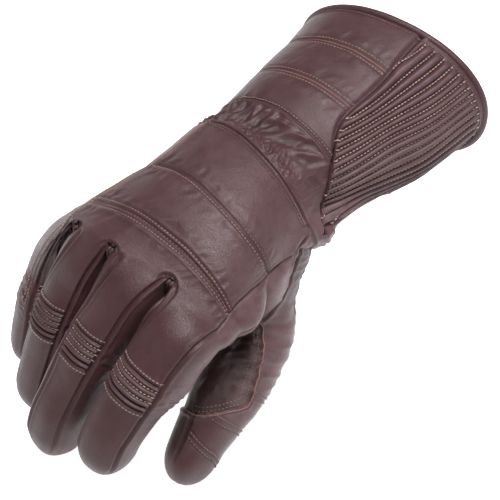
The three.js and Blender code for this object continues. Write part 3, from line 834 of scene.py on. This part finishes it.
def stitches(name, rows, look="thread", raised=0.0, thick=1.0):
    """Rows of thread stitches, each a little arched capsule sunk at both ends. A row is (surface, p, q)."""
    where, lift, fat = STITCH_RINGS.T
    turn = np.arange(STITCH_SIDES) * math.tau / STITCH_SIDES
    rings = []
    for surface, p, q in rows:
        run, place, up = path_on(surface, p, q)
        middles = np.arange(STITCH_PITCH / 2, run[-1], STITCH_PITCH)
        along = middles[:, None] + where * STITCH_LENGTH
        centre, n = read_along(run, place, along), unit(read_along(run, up, along))
        side = np.cross(unit(centre[:, -1:] - centre[:, :1]), n)
        out = np.cos(turn)[:, None] * side[:, :, None] + np.sin(turn)[:, None] * n[:, :, None]
        centre = centre + n * (lift[:, None] + raised)
        rings.append(centre[:, :, None] + (fat * THREAD * thick)[:, None, None] * out)
    points = np.concatenate(rings).reshape(-1, 3)
    numbers = np.arange(len(points)).reshape(-1, len(STITCH_RINGS), STITCH_SIDES)
    return make(name, points, [face for number in numbers for face in rod_faces(number)], look)


CORD_STEP, CORD_END = 0.7, 0.4         # spacing of a cord's rings, and its ends' share of its thickness


def strand(name, paths, radius, look, lift=0.0, flat=1.0, sides=8, closed=False):
    """Round or flattened cords laid along surfaces. A path is (surface, p, q)."""
    points, faces = [], []
    count = 0
    turn = np.arange(sides) * math.tau / sides
    for surface, p, q in paths:
        _, place, up = path_on(surface, p, q, CORD_STEP)
        taper = np.ones(len(place) - closed)
        if closed:
            place, up = place[:-1], up[:-1]
            along = np.roll(place, -1, 0) - np.roll(place, 1, 0)
        else:
            along = np.gradient(place, axis=0)
            taper[[0, -1]] = CORD_END
        side = unit(np.cross(unit(along), up))
        out = np.cos(turn)[:, None] * side[:, None] + flat * np.sin(turn)[:, None] * up[:, None]
        points.append(((place + up * lift)[:, None] + radius * taper[:, None, None] * out).reshape(-1, 3))
        number = np.arange(len(place) * sides).reshape(-1, sides) + count
        count += number.size
        faces += rod_faces(np.vstack([number, number[:1]]) if closed else number, closed)
    return make(name, np.vstack(points), faces, look)


# ---- materials: colour, grain and wear worked out from each piece's rest positions, in millimetres, with shade painted into the grooves from their relief ----
class Nodes:
    """A few short calls for wiring a material."""

    def __init__(self, name):
        mat = material(name)
        mat.use_nodes = True
        self.tree = mat.node_tree
        self.tree.nodes.clear()
        self.shader = self.add("ShaderNodeBsdfPrincipled")
        out = self.add("ShaderNodeOutputMaterial")
        self.link(self.shader.outputs[0], out.inputs["Surface"])
        rest = self.add("ShaderNodeAttribute", attribute_name="rest")
        self.at = self.vector("SCALE", rest.outputs["Vector"], scale=1 / MM)
        self.relief = self.add("ShaderNodeAttribute", attribute_name="relief").outputs["Fac"]

    def add(self, kind, **values):
        node = self.tree.nodes.new(kind)
        for key, value in values.items():
            setattr(node, key, value)
        return node

    def link(self, a, b):
        self.tree.links.new(a, b)

    def put(self, value, socket):
        if isinstance(value, bpy.types.NodeSocket):
            self.link(value, socket)
        else:
            socket.default_value = (*value, 1) if socket.type == "RGBA" else value

    def vector(self, operation, a, b=None, scale=None):
        node = self.add("ShaderNodeVectorMath", operation=operation)
        self.put(a, node.inputs[0])
        if b is not None:
            self.put(b, node.inputs[1])
        if scale is not None:
            node.inputs["Scale"].default_value = scale
        return node.outputs[0]

    def math(self, operation, a, b=0.0):
        node = self.add("ShaderNodeMath", operation=operation)
        self.put(a, node.inputs[0])
        self.put(b, node.inputs[1])
        return node.outputs[0]

    def texture(self, kind, at=None, settings=None, **inputs):
        """A texture laid on the rest positions."""
        node = self.add(kind, **(settings or {}))
        for key, value in inputs.items():
            node.inputs[key].default_value = value
        self.link(at or self.at, node.inputs["Vector"])
        return node.outputs

    def noise(self, size, detail=3, rough=0.55, warp=0.0):
        return self.texture("ShaderNodeTexNoise", Scale=1 / size, Detail=detail, Roughness=rough,
                            Distortion=warp)["Fac"]

    def wander(self, size):
        """A vector that varies smoothly about zero."""
        colour = self.texture("ShaderNodeTexNoise", Scale=1 / size)["Color"]
        return self.vector("SUBTRACT", colour, (0.5, 0.5, 0.5))

    def cells(self, size, at):
        """Distance to the nearest border between pebbles."""
        settings = {"feature": "DISTANCE_TO_EDGE"}
        return self.texture("ShaderNodeTexVoronoi", at, settings, Scale=1 / size)["Distance"]

    def bands(self, direction, scale, warp=0.0):
        settings = {"wave_type": "BANDS", "bands_direction": direction}
        return self.texture("ShaderNodeTexWave", None, settings, Scale=scale, Distortion=warp)["Fac"]

    def span(self, value, low, high, to_low=0.0, to_high=1.0):
        node = self.add("ShaderNodeMapRange", clamp=True)
        self.put(value, node.inputs["Value"])
        for key, number in (("From Min", low), ("From Max", high), ("To Min", to_low), ("To Max", to_high)):
            node.inputs[key].default_value = number
        return node.outputs["Result"]

    def mix(self, share, a, b):
        node = self.add("ShaderNodeMix", data_type="RGBA")
        colours = [i for i in node.inputs if i.type == "RGBA"]
        self.put(share, node.inputs["Factor"])
        self.put(a, colours[0])
        self.put(b, colours[1])
        return next(o for o in node.outputs if o.type == "RGBA")

    def bump(self, height, depth, strength=1.0, under=None):
        node = self.add("ShaderNodeBump")
        node.inputs["Strength"].default_value = strength
        node.inputs["Distance"].default_value = depth * MM
        self.link(height, node.inputs["Height"])
        if under is not None:
            self.link(under, node.inputs["Normal"])
        return node.outputs["Normal"]

    def finish(self, colour, rough, normal, **sockets):
        self.put(colour, self.shader.inputs["Base Color"])
        self.put(rough, self.shader.inputs["Roughness"])
        self.link(normal, self.shader.inputs["Normal"])
        for key, value in sockets.items():
            self.put(value, self.shader.inputs[key.replace("_", " ")])


def darker(colour, share):
    return tuple(part * share for part in colour)


def leather_look(name, dark, light, worn, rough, grain=1.0, groove=(-0.9, -2.0, 0.5)):
    """Grained leather, worn on top of its folds, with shade painted into its grooves. Groove: the relief at
    which the painted shade starts and at which it is darkest, and how much."""
    n = Nodes(name)
    broad, cloud, fine = n.noise(34, 4), n.noise(7, 5, warp=0.4), n.noise(1.1, 4)
    tone = n.math("ADD", n.math("MULTIPLY", broad, 0.6), n.math("MULTIPLY", cloud, 0.4))
    colour = n.mix(n.span(tone, 0.33, 0.67), dark, light)
    colour = n.mix(n.span(fine, 0.3, 0.75, 0.0, 0.16), colour, light)
    rubbed = n.math("MULTIPLY", n.span(n.relief, 0.5, 1.9), n.span(cloud, 0.35, 0.65, 0.25, 0.8))
    colour = n.mix(rubbed, colour, worn)
    # painted shade: darker towards the bottoms of grooves and creases, where shade falls
    colour = n.mix(n.span(n.relief, *groove[:2], 0.0, groove[2]), colour, darker(dark, 0.45))
    at = n.vector("ADD", n.at, n.vector("SCALE", n.wander(2.5), scale=0.7))
    pebbles = n.span(n.cells(0.95, at), 0.0, 0.22)
    pores = n.span(n.noise(0.33, 2), 0.45, 0.62)
    lines = n.math("ABSOLUTE", n.math("SUBTRACT", n.noise(5.5, 3, warp=1.2), 0.5))
    lines = n.span(lines, 0.0, 0.035)
    normal = n.bump(pebbles, 0.05 * grain, 0.8)
    normal = n.bump(pores, 0.035 * grain, 0.6, normal)
    normal = n.bump(lines, 0.07 * grain, 0.5, normal)
    normal = n.bump(cloud, 0.5, 0.2, normal)
    gloss = n.span(cloud, 0.3, 0.7, rough - 0.05, rough + 0.07)
    gloss = n.math("ADD", gloss, n.span(pebbles, 0.0, 1.0, 0.09, 0.0))
    n.finish(colour, n.math("SUBTRACT", gloss, n.math("MULTIPLY", rubbed, 0.08)), normal,
             Specular_IOR_Level=0.36, Sheen_Weight=0.05, Sheen_Roughness=0.4, Sheen_Tint=(0.86, 0.78, 0.92))


def thread_look(name, dark, light):
    n = Nodes(name)
    ply = n.bands("DIAGONAL", 2.2, 1.0)
    colour = n.mix(n.span(n.noise(6, 3), 0.35, 0.65), dark, light)
    colour = n.mix(n.span(ply, 0.2, 0.8, 0.35, 0.0), colour, darker(dark, 0.4))
    n.finish(colour, 0.62, n.bump(ply, 0.06), Sheen_Weight=0.3, Sheen_Roughness=0.5)


def raw_edge_look(name, dark, light):
    n = Nodes(name)
    fibre = n.noise(0.5, 5, 0.7)
    colour = n.mix(n.span(fibre, 0.3, 0.7), dark, light)
    colour = n.mix(n.span(n.noise(4, 3), 0.55, 0.75, 0.0, 0.55), colour, darker(dark, 0.4))
    n.finish(colour, 0.78, n.bump(fibre, 0.12), Sheen_Weight=0.3, Sheen_Roughness=0.6)


def knit_look(name, dark, light, wale):
    """A fine ribbed knit: columns of stitches along the glove, wale millimetres apart."""
    n = Nodes(name)
    loops = n.math("MULTIPLY", n.bands("Y", 0.32 / wale, 1.5), n.bands("DIAGONAL", 0.25 / wale))
    fuzz = n.noise(0.7, 5, 0.7)
    colour = n.mix(n.span(n.math("ADD", loops, n.math("MULTIPLY", fuzz, 0.5)), 0.2, 1.1), dark, light)
    normal = n.bump(fuzz, 0.15, 0.7, n.bump(loops, 0.3))
    n.finish(colour, 0.85, normal, Sheen_Weight=0.5, Sheen_Roughness=0.5)


BROWN = (0.048, 0.0175, 0.0185)
leather_look("leather", BROWN, (0.072, 0.03, 0.0325), (0.112, 0.058, 0.062), 0.38)
# rib_leather paints strong shade into its grooves, from a relief of 0.1 down to -0.9
leather_look("rib_leather", BROWN, (0.074, 0.032, 0.0345), (0.15, 0.084, 0.09), 0.4, 0.7, (0.1, -0.9, 0.85))
leather_look("web_leather", (0.032, 0.015, 0.0145), (0.064, 0.033, 0.033), (0.13, 0.08, 0.08), 0.33)
leather_look("patch_leather", (0.048, 0.024, 0.022), (0.085, 0.045, 0.042), (0.14, 0.085, 0.08), 0.55, 1.5)
thread_look("thread", (0.22, 0.135, 0.10), (0.40, 0.27, 0.205))
thread_look("brown_thread", (0.10, 0.055, 0.042), (0.21, 0.135, 0.10))
# the ribs' thread is the same tan thread painted lighter, as painted light against the shade of the grooves
# it lies in
thread_look("rib_thread_painted_lighter", (0.34, 0.22, 0.165), (0.62, 0.45, 0.35))
thread_look("dark_thread", (0.055, 0.026, 0.022), (0.11, 0.055, 0.045))
raw_edge_look("raw_edge", (0.15, 0.052, 0.034), (0.33, 0.14, 0.09))
knit_look("lining_knit", (0.030, 0.022, 0.020), (0.085, 0.065, 0.06), 1.0)
knit_look("elastic_knit", (0.035, 0.026, 0.024), (0.10, 0.075, 0.07), 1.6)


# ---- the cuff ----
ROUND = (-180, 180)
LINING = 1.0               # the lining's thickness
CUFF_END = 360 + CUFF_ULNAR


def between(first, last, low, high):
    """Edges for a panel of the main tube: two seams, or plain distances, and two lines along it."""
    def edge(seam):
        def line(v):
            d = np.full(np.shape(v), float(seam))
            for _ in range(6 if seam in SEAM_LINES else 0):
                d = seam_line(seam, lerp(value_of(low, d), value_of(high, d), v))
            return d
        return seam if callable(seam) else line
    return (edge(first), edge(last)), (low, high)


# Each cuff and wrist piece: its first and last seam, the lines beside it, its look, mesh size and filling.
cuff_pieces = (
    ("cuff_back_upper", SEAM_RIM, SEAM_A, CUFF_ULNAR, stretch_back, "leather", 0.9, 0.45),
    ("cuff_back_middle", SEAM_A, SEAM_B, CUFF_ULNAR, stretch_back, "leather", 0.9, 0.45),
    ("cuff_back_lower", SEAM_B, SEAM_C, CUFF_ULNAR, stretch_back, "leather", 0.9, 0.45),
    ("cuff_stretch_panel", SEAM_RIM, SEAM_C, stretch_back, stretch_palm, "rib_leather", 0.7, 0.6),
    ("cuff_palm_panel", SEAM_RIM, SEAM_C, stretch_palm, CUFF_END, "leather", 1.2, None),
    ("wrist_gather_back", SEAM_C, SEAM_D, CUFF_ULNAR, stretch_back, "leather", 0.6, None),
    ("wrist_gather_palm", SEAM_C, SEAM_D, stretch_palm, CUFF_END, "leather", 0.8, None),
    ("wrist_stretch_point", SEAM_C, STRETCH_POINT, stretch_back, stretch_palm, "rib_leather", 0.7, 0.6),
)
for name, first, last, low, high, look, size, fill in cuff_pieces:
    finish(shell(name, hand, *between(first, last, low, high), look, size),
           name.split("_")[0], [name])


def lining_base(d, theta):
    """Inside the leather, and clear of its grooves, its gathers and its flatter underside."""
    inset = 2.7 + 2.8 * smooth(d / 12) + 2.2 * bump(d - WRIST_AT, 11)
    return tube(d, theta, inset + np.maximum(0, -set_off(d, theta)))


lining = Surface(lining_base, lambda d, theta, p: 0.5 * ripple(p, (14, 12, 14), 8))
for name, span, host, look, slot, size in (
        ("cuff_lining", (1.2, SEAM_C), "cuff", "lining_knit", "lining", 1.6),
        ("wrist_elastic", (SEAM_C, SEAM_D), "wrist", "elastic_knit", "elastic", 1.4),
        ("hand_lining", (SEAM_D, 160), "hand", "lining_knit", "lining", 2.4)):
    finish(shell(name, lining, span, ROUND, look, size, LINING, wraps=True), host, [name])
all_round = np.linspace(*ROUND, 361)
mouth = Surface(tube, lambda d, t, p: 0.15 * noise(p[..., 0] / 9, p[..., 2] / 9, 0.0, 9))
finish(strand("cuff_binding", [(mouth, np.full(361, 1.6), all_round)], 2.1, "leather", -0.9, 1.15, 16, True),
       "cuff", ["cuff_binding"])


# ---- the hand ----
def parting(low, high):
    """The finger line as an edge for a panel between two lines along the hand."""
    return lambda v: finger_line(lerp(value_of(low, 166.0), value_of(high, 166.0), v))


for name, first, last, low, high, size, fill in (
        ("hand_back_upper", SEAM_D, SEAM_E, back_ulnar, back_radial, 0.9, 0.45),
        ("hand_back_middle", SEAM_E, SEAM_F, back_ulnar, back_radial, 0.9, 0.45),
        ("knuckle_panel", SEAM_F, None, back_ulnar, back_radial, 0.8, 0.45),
        ("ulnar_side_strip", SEAM_D, None, PALM_ULNAR, back_ulnar, 1.0, None),
        ("radial_side_strip", SEAM_D, None, back_radial, PALM_RADIAL, 0.9, None),
        ("palm_panel", SEAM_D, None, PALM_RADIAL, 360 + PALM_ULNAR, 1.1, None)):
    edges = between(first, parting(low, high) if last is None else last, low, high)
    finish(shell(name, hand, *edges, "leather", size), "hand", [name])

# ---- the fingers ----
for finger in FINGERS:
    skin, surface = finger_skins[finger], fingers[finger]

    def edge(kind, low, high):
        """Where a piece starts or ends along the finger: its root, or the ribs' start (0) or end (1)."""
        def line(v):
            s = np.zeros(np.shape(v))
            for _ in range(6):
                a = lerp(value_of(low, s), value_of(high, s), v)
                s = skin.start(a) if kind == "start" else skin.rib_line(kind, a)
            return s
        return line

    base, middle, end = finger + "_root", finger + "_middle", finger + "_end"
    seam_low, seam_high = finger_seams[finger]
    round_again = lambda s, line=seam_low: 360 + line(s)
    parts = {
        "base_back": (seam_low, seam_high, 0.75, ["base_back", "root_sleeve"], 0.4),
        "thumbward_side": (seam_high, PALM_EDGE, 0.8, ["thumbward_side"], None),
        "outward_side": (-PALM_EDGE, seam_low, 0.8, ["outward_side"], None),
        "base_palm": (PALM_EDGE, 360 - PALM_EDGE, 1.0, ["base_palm"], None),
    }
    for part, (low, high, size, nodes, fill) in parts.items():
        finish(shell(f"{finger}_{part}", surface, (edge("start", low, high), edge(0, low, high)), (low, high),
                     "leather", size), base, [f"{finger}_{node}" for node in nodes])
    for part, low, high, look, size in (("rib_panel", seam_low, seam_high, "rib_leather", 0.5),
                                        ("flex_sleeve", seam_high, round_again, "leather", 0.8)):
        ends = edge(0, low, high), edge(1, low, high)
        finish(shell(f"{finger}_{part}", surface, ends, (low, high), look, size), middle,
               [f"{finger}_{part}"])
    finish(shell(f"{finger}_tip", surface, (edge(1, *ROUND), skin.digit.length), ROUND, "leather", 0.8,
                 wraps=True, pole=True), end, [f"{finger}_tip"])

# ---- the thumb ----
s0, s1, s2 = THUMB_ZONE
THUMB_START = -18          # where its leather starts inside the hand, along the thumb
THUMB_RIDGE = -5           # the angle at which the thumb's back meets its outer side
for part, along, around, host in (
        ("root_sleeve", (THUMB_START, s0), ROUND, "thumb_root"),
        ("base_back", (s0, s1), (THUMB_WEB, THUMB_RIDGE), "thumb_base"),
        ("outward_side", (s0, s1), (THUMB_RIDGE, THUMB_BACK), "thumb_base"),
        ("base_pad", (s0, s1), (THUMB_BACK, 180), "thumb_base"),
        ("palmward_side", (s0, s1), (180, 360 + THUMB_WEB), "thumb_base"),
        ("flex_sleeve", (s1, s2), ROUND, "thumb_tip")):
    finish(shell("thumb_" + part, thumb, along, around, "leather", 0.9, wraps=around == ROUND),
           host, ["thumb_" + part])
finish(shell("thumb_tip", thumb, (s2, digits["thumb"].length), ROUND, "leather", 0.9, wraps=True, pole=True),
       "thumb_end", ["thumb_tip"])


def web_patch_relief(s, a, p):
    """The reinforcement: the thumb's own relief, with softer folds of its own away from its edge."""
    y = a * THUMB_ROUND
    folds = 1.8 * noise(s / 13, y / 8, 0.0, 17) + 0.7 * noise(s / 6, y / 5, 0.0, 18)
    return thumb_relief(s, a, p) + 0.3 + smooth((inside_web(s, a) - 3) / 5) * folds


WEB_START = -94            # the angle of the reinforcement's hidden edge
web_edges = (lambda v: WEB_FROM(lerp(WEB_START, WEB_SIDE, v)) + 0.4,
             lambda v: WEB_TO(lerp(WEB_START, WEB_SIDE, v)) - 0.4)
web_leather = Surface(digits["thumb"].skin, web_patch_relief)
finish(shell("thumb_web_patch", web_leather, web_edges, (WEB_START, WEB_SIDE), "web_leather", 0.7, 0.8),
       "thumb_tip")


def web_path(inset, first=0.0, last=1.0):
    """A line beside the reinforcement's edge, between two shares of the way round it."""
    turn = np.linspace(0, 1, 120)
    near, far = lerp(THUMB_WEB, WEB_SIDE, turn), lerp(WEB_SIDE, -90, turn)
    s = np.concatenate([WEB_FROM(near), WEB_TO(far)])
    y = np.concatenate([near, far]) * THUMB_ROUND
    run = np.concatenate([[0], np.cumsum(np.hypot(np.diff(s), np.diff(y)))])
    even = np.linspace(first, last, 90) * run[-1]
    s, y = np.interp(even, run, s), np.interp(even, run, y)
    ds, dy = np.gradient(s), np.gradient(y)
    long = np.hypot(ds, dy)
    return thumb, s + inset * dy / long, (y - inset * ds / long) / THUMB_ROUND


# ---- the palm patch ----
PATCH_FROM, PATCH_TO, PATCH_SIDES, PATCH_RAISE = 117, 156, (158, 214), 1.3
PATCH_MIDDLE, PATCH_HALF = sum(PATCH_SIDES) / 2, (PATCH_SIDES[1] - PATCH_SIDES[0]) / 2


def patch_wide(d):
    """Half the patch's width in degrees: straight-sided, with rounded corners."""
    share = np.clip(np.abs(2 * (d - PATCH_FROM) / (PATCH_TO - PATCH_FROM) - 1), 0, 1)
    return np.maximum(0.7, (1 - share ** 5) ** 0.2) * PATCH_HALF


raised_palm = Surface(tube, lambda d, t, p: glove_relief(d, t, p) + PATCH_RAISE)
finish(shell("palm_patch", raised_palm, (PATCH_FROM, PATCH_TO),
             (lambda d: PATCH_MIDDLE - patch_wide(d), lambda d: PATCH_MIDDLE + patch_wide(d)),
             "patch_leather", 1.0, PATCH_RAISE - 0.1), "hand", ["palm_patch"])


# ---- thread and raw edges ----
def round_row(seam, off, low, high, count=120):
    theta = np.linspace(low, high, count)
    return hand, seam_line(seam, theta) + off, theta


def cuff_row(seam, off=0.0):
    return round_row(seam, off, CUFF_ULNAR + 1, float(stretch_back(seam)) - 1.5)


def hand_row(seam, off=0.0):
    return round_row(seam, off, float(back_ulnar(seam)) + 1.5, float(back_radial(seam)) - 1.5)


OUT = STITCH_OUT
rim_row = round_row(SEAM_RIM, 2.2, *ROUND, 240)
finish(stitches("stitches_rim", [rim_row], "brown_thread", 0.1), "cuff")
for name, look, host, rows in (
        ("cuff_upper", "thread", "cuff", [cuff_row(SEAM_A, -OUT), cuff_row(SEAM_A, OUT)]),
        ("cuff_middle", "thread", "cuff", [cuff_row(SEAM_B, -OUT), cuff_row(SEAM_B, OUT)]),
        ("cuff_lower", "thread", "cuff", [cuff_row(SEAM_C, -1.3)]),
        ("hand_wrist", "dark_thread", "hand", [hand_row(SEAM_D, 1.7), hand_row(SEAM_D, 3.2)]),
        ("hand_upper", "thread", "hand", [hand_row(SEAM_E, -1.4), hand_row(SEAM_E, 1.4)]),
        ("hand_middle", "thread", "hand",
         [hand_row(SEAM_F, -OUT), hand_row(SEAM_F, 0.1), hand_row(SEAM_F, OUT)])):
    finish(stitches("stitches_" + name, rows, look), host)
for name, row, host, lift in (
        ("cuff_upper", cuff_row(SEAM_A), "cuff", 0.1), ("cuff_middle", cuff_row(SEAM_B), "cuff", 0.1),
        ("hand_wrist", hand_row(SEAM_D, 0.7), "hand", 0.05)):
    finish(strand("edge_" + name, [row], 0.26, "raw_edge", lift), host)


def rib_groove(k, first, last):
    """Along the bottom of one groove of the ribbed cuff panel."""
    d = np.linspace(first, last, 120)
    theta = stretch_back(0) + RIB_ANGLE * k
    for _ in range(6):
        theta = stretch_back(0) + RIB_ANGLE * (k - rib_wander(d, theta))
    inside = (theta > stretch_back(d) + 1.5) & (theta < stretch_palm(d) - 1.5)
    return hand, d[inside], theta[inside]


# the ribs' stitches use the thread painted lighter, as painted light in the shaded grooves
for host, first, last in (("cuff", SEAM_RIM + 2.4, SEAM_C), ("wrist", SEAM_C, STRETCH_POINT)):
    grooves = [rib_groove(k, first, last) for k in range(1, RIBS)]
    rows = [groove for groove in grooves if len(groove[1]) > 6]
    piece = stitches(f"stitches_{host}_ribs", rows, "rib_thread_painted_lighter", raised=0.95, thick=1.25)
    finish(piece, host)

ulnar = np.linspace(float(seam_line(SEAM_D, back_ulnar(96))), float(finger_line(-46)), 90)
ulnar_row = (hand, ulnar, back_ulnar(ulnar) + 0.2)
finish(strand("edge_ulnar", [ulnar_row], 0.3, "raw_edge", 0.25), "hand")
for finger in FINGERS:
    skin, surface = finger_skins[finger], fingers[finger]
    low, high = RIB_ZONE[finger]
    low_seam, high_seam = (float(line((low + high) / 2)) for line in finger_seams[finger])
    a = np.linspace(low_seam + 4, high_seam - 4, 30)
    first, last = skin.rib_line(0, a), skin.rib_line(1, a)
    rib_rows = [(surface, lerp(first, last, k / FINGER_RIBS), a) for k in (1, 2, 3)]
    finish(stitches(f"stitches_{finger}_back", [(surface, first - 1.5, a)]), f"{finger}_root")
    finish(stitches(f"stitches_{finger}_ribs", rib_rows, "rib_thread_painted_lighter", 0.8),
           f"{finger}_middle")
    finish(stitches(f"stitches_{finger}_front", [(surface, last + 1.4, a)]), f"{finger}_end")

# the rolled fold inside each slot, along the strip that faces the next finger
SLOT_FOLD_FROM, SLOT_FOLD_TO = -0.4, 31
for finger, angles in (("middle", (84, 96)), ("ring", (80, 92))):
    s = np.linspace(SLOT_FOLD_FROM, SLOT_FOLD_TO, 70)
    fold = (fingers[finger], s, lerp(*angles, smooth((s - SLOT_FOLD_FROM) / 30)))
    finish(strand(f"{finger}_slot_fold", [fold], 1.7, "leather", 0.5, sides=12), f"{finger}_root")


def slot_wall(border):
    """Across the end of a slot: p is the percentage of the way down from the back, q is sideways."""
    d = float(finger_line(border))
    top, under = tube(d + 0.3, border), tube(d + 1, palm_of(border))
    return Surface(lambda p, q: lerp(top, under, p[..., None] / 100) + q[..., None] * np.array([1, 0, 0]),
                   lambda p, q, at: 0 * p)


# the gathered leather that closes the end of each slot: two pleats side by side, from the back to the palm
for finger, border in zip(("little", "ring", "middle"), SLOTS):
    down = np.linspace(5, 92, 60)
    pleats = [(slot_wall(border), down, side * lerp(0.9, 1.5, down / 100)) for side in (-1, 1)]
    finish(strand(f"{finger}_slot_end", pleats, 1.5, "leather", flat=1.6, sides=12), "hand")

# the thumb, and the fold of leather that runs from it to the index finger
fold_edge = np.linspace(149, 167, 60)
fold_line = line_through((144, 150, 158, 166, 172), (97, 97, 99, 101, 103))
fold_row = (hand, fold_edge, fold_line(fold_edge))
finish(strand("edge_web_fold", [fold_row], 0.3, "raw_edge", 0.1), "hand")
finish(strand("edge_thumb_web", [web_path(-0.3)], 0.24, "raw_edge", 0.1), "thumb_tip")
web_rows = [web_path(1.6, 0.22, 0.98), web_path(3.6, 0.25, 0.97)]
finish(stitches("stitches_thumb_web", web_rows, "brown_thread", 0.1), "thumb_tip")
for k, (at, slope, low, high) in enumerate(THUMB_SEAMS):
    a = np.linspace(low, high, 40)
    rows = [(thumb, at + slope * a + off, a) for off in (-1.3, 1.3)]
    finish(stitches(f"stitches_thumb_{k + 1}", rows, "brown_thread"),
           "thumb_tip" if k == 0 else "thumb_end")

# the little finger's side band
band = np.linspace(138, 160.5, 60)
finish(stitches("stitches_hand_band", [(hand, band, back_ulnar(band) - off) for off in (5.5, 8.5)]),
       "hand")
little, steps_along = fingers["little"], np.linspace(1, 42, 70)
band_line = line_through((-2, 11, 18, 24, 30, 37, 44), (-36, -2, 12, 26, 34, 37, 42))
little_rows = [(little, steps_along, band_line(steps_along) - off) for off in (5, 17)]
little_rows.append((little, np.full(30, 43.5), np.linspace(-30, 38, 30)))
finish(stitches("stitches_little_band", little_rows), "little_root")


# ---- floor, light and camera ----
def thing(data, name):
    obj = bpy.data.objects.new(name, data)
    bpy.context.scene.collection.objects.link(obj)
    return obj


FLOOR_DEPTH, FLOOR_HALF = 0.19, 6.0    # metres
floor = bpy.data.meshes.new("floor")
corners = ((-1, -1), (1, -1), (1, 1), (-1, 1))
floor.from_pydata([(x * FLOOR_HALF, y * FLOOR_HALF, -FLOOR_DEPTH) for x, y in corners], [], [(0, 1, 2, 3)])
floor_look = bpy.data.materials.new("floor")
floor_look.use_nodes = True
for key, value in (("Base Color", (0.93, 0.93, 0.93, 1)), ("Roughness", 0.9), ("Specular IOR Level", 0.1),
                   ("Emission Color", (1, 1, 1, 1)), ("Emission Strength", 0.72)):
    floor_look.node_tree.nodes["Principled BSDF"].inputs[key].default_value = value
floor.materials.append(floor_look)
thing(floor, "floor")


def lamp(name, place, aim, size, power, colour=(1, 1, 1)):
    light = bpy.data.lights.new(name, "AREA")
    light.shape, light.size, light.energy, light.color = "DISK", size, power, colour
    obj = thing(light, name)
    obj.location = place
    obj.rotation_euler = (Vector(aim) - Vector(place)).to_track_quat("-Z", "Y").to_euler()


AIM = Vector((0.0089, -0.1145, -0.0203))
lamp("key", (0.05, 0.12, 1.5), AIM, 0.5, 29, (1, 0.985, 1))
lamp("side", (1.25, 0.5, 0.7), AIM, 0.6, 5, (0.95, 0.95, 1))
lamp("fill", (0.3, -1.5, 0.7), AIM, 1.0, 0.4)
world = bpy.data.worlds.new("studio")
world.use_nodes = True
for key, value in (("Color", (0.97, 0.98, 1, 1)), ("Strength", 0.3)):
    world.node_tree.nodes["Background"].inputs[key].default_value = value
bpy.context.scene.world = world

LENS, SENSOR = 149.76, 36              # millimetres; the camera stands one metre from its aim
AZIMUTH, ELEVATION = math.radians(43), math.radians(56)
TOWARDS = Vector((math.sin(AZIMUTH) * math.cos(ELEVATION), -math.cos(AZIMUTH) * math.cos(ELEVATION),
                  math.sin(ELEVATION)))
camera = thing(bpy.data.cameras.new("camera"), "camera")
camera.data.lens, camera.data.sensor_width = LENS, SENSOR
camera.location = AIM + TOWARDS
camera.rotation_euler = (-TOWARDS).to_track_quat("-Z", "Y").to_euler()
bpy.context.scene.camera = camera
bpy.context.scene.view_settings.view_transform = "Standard"
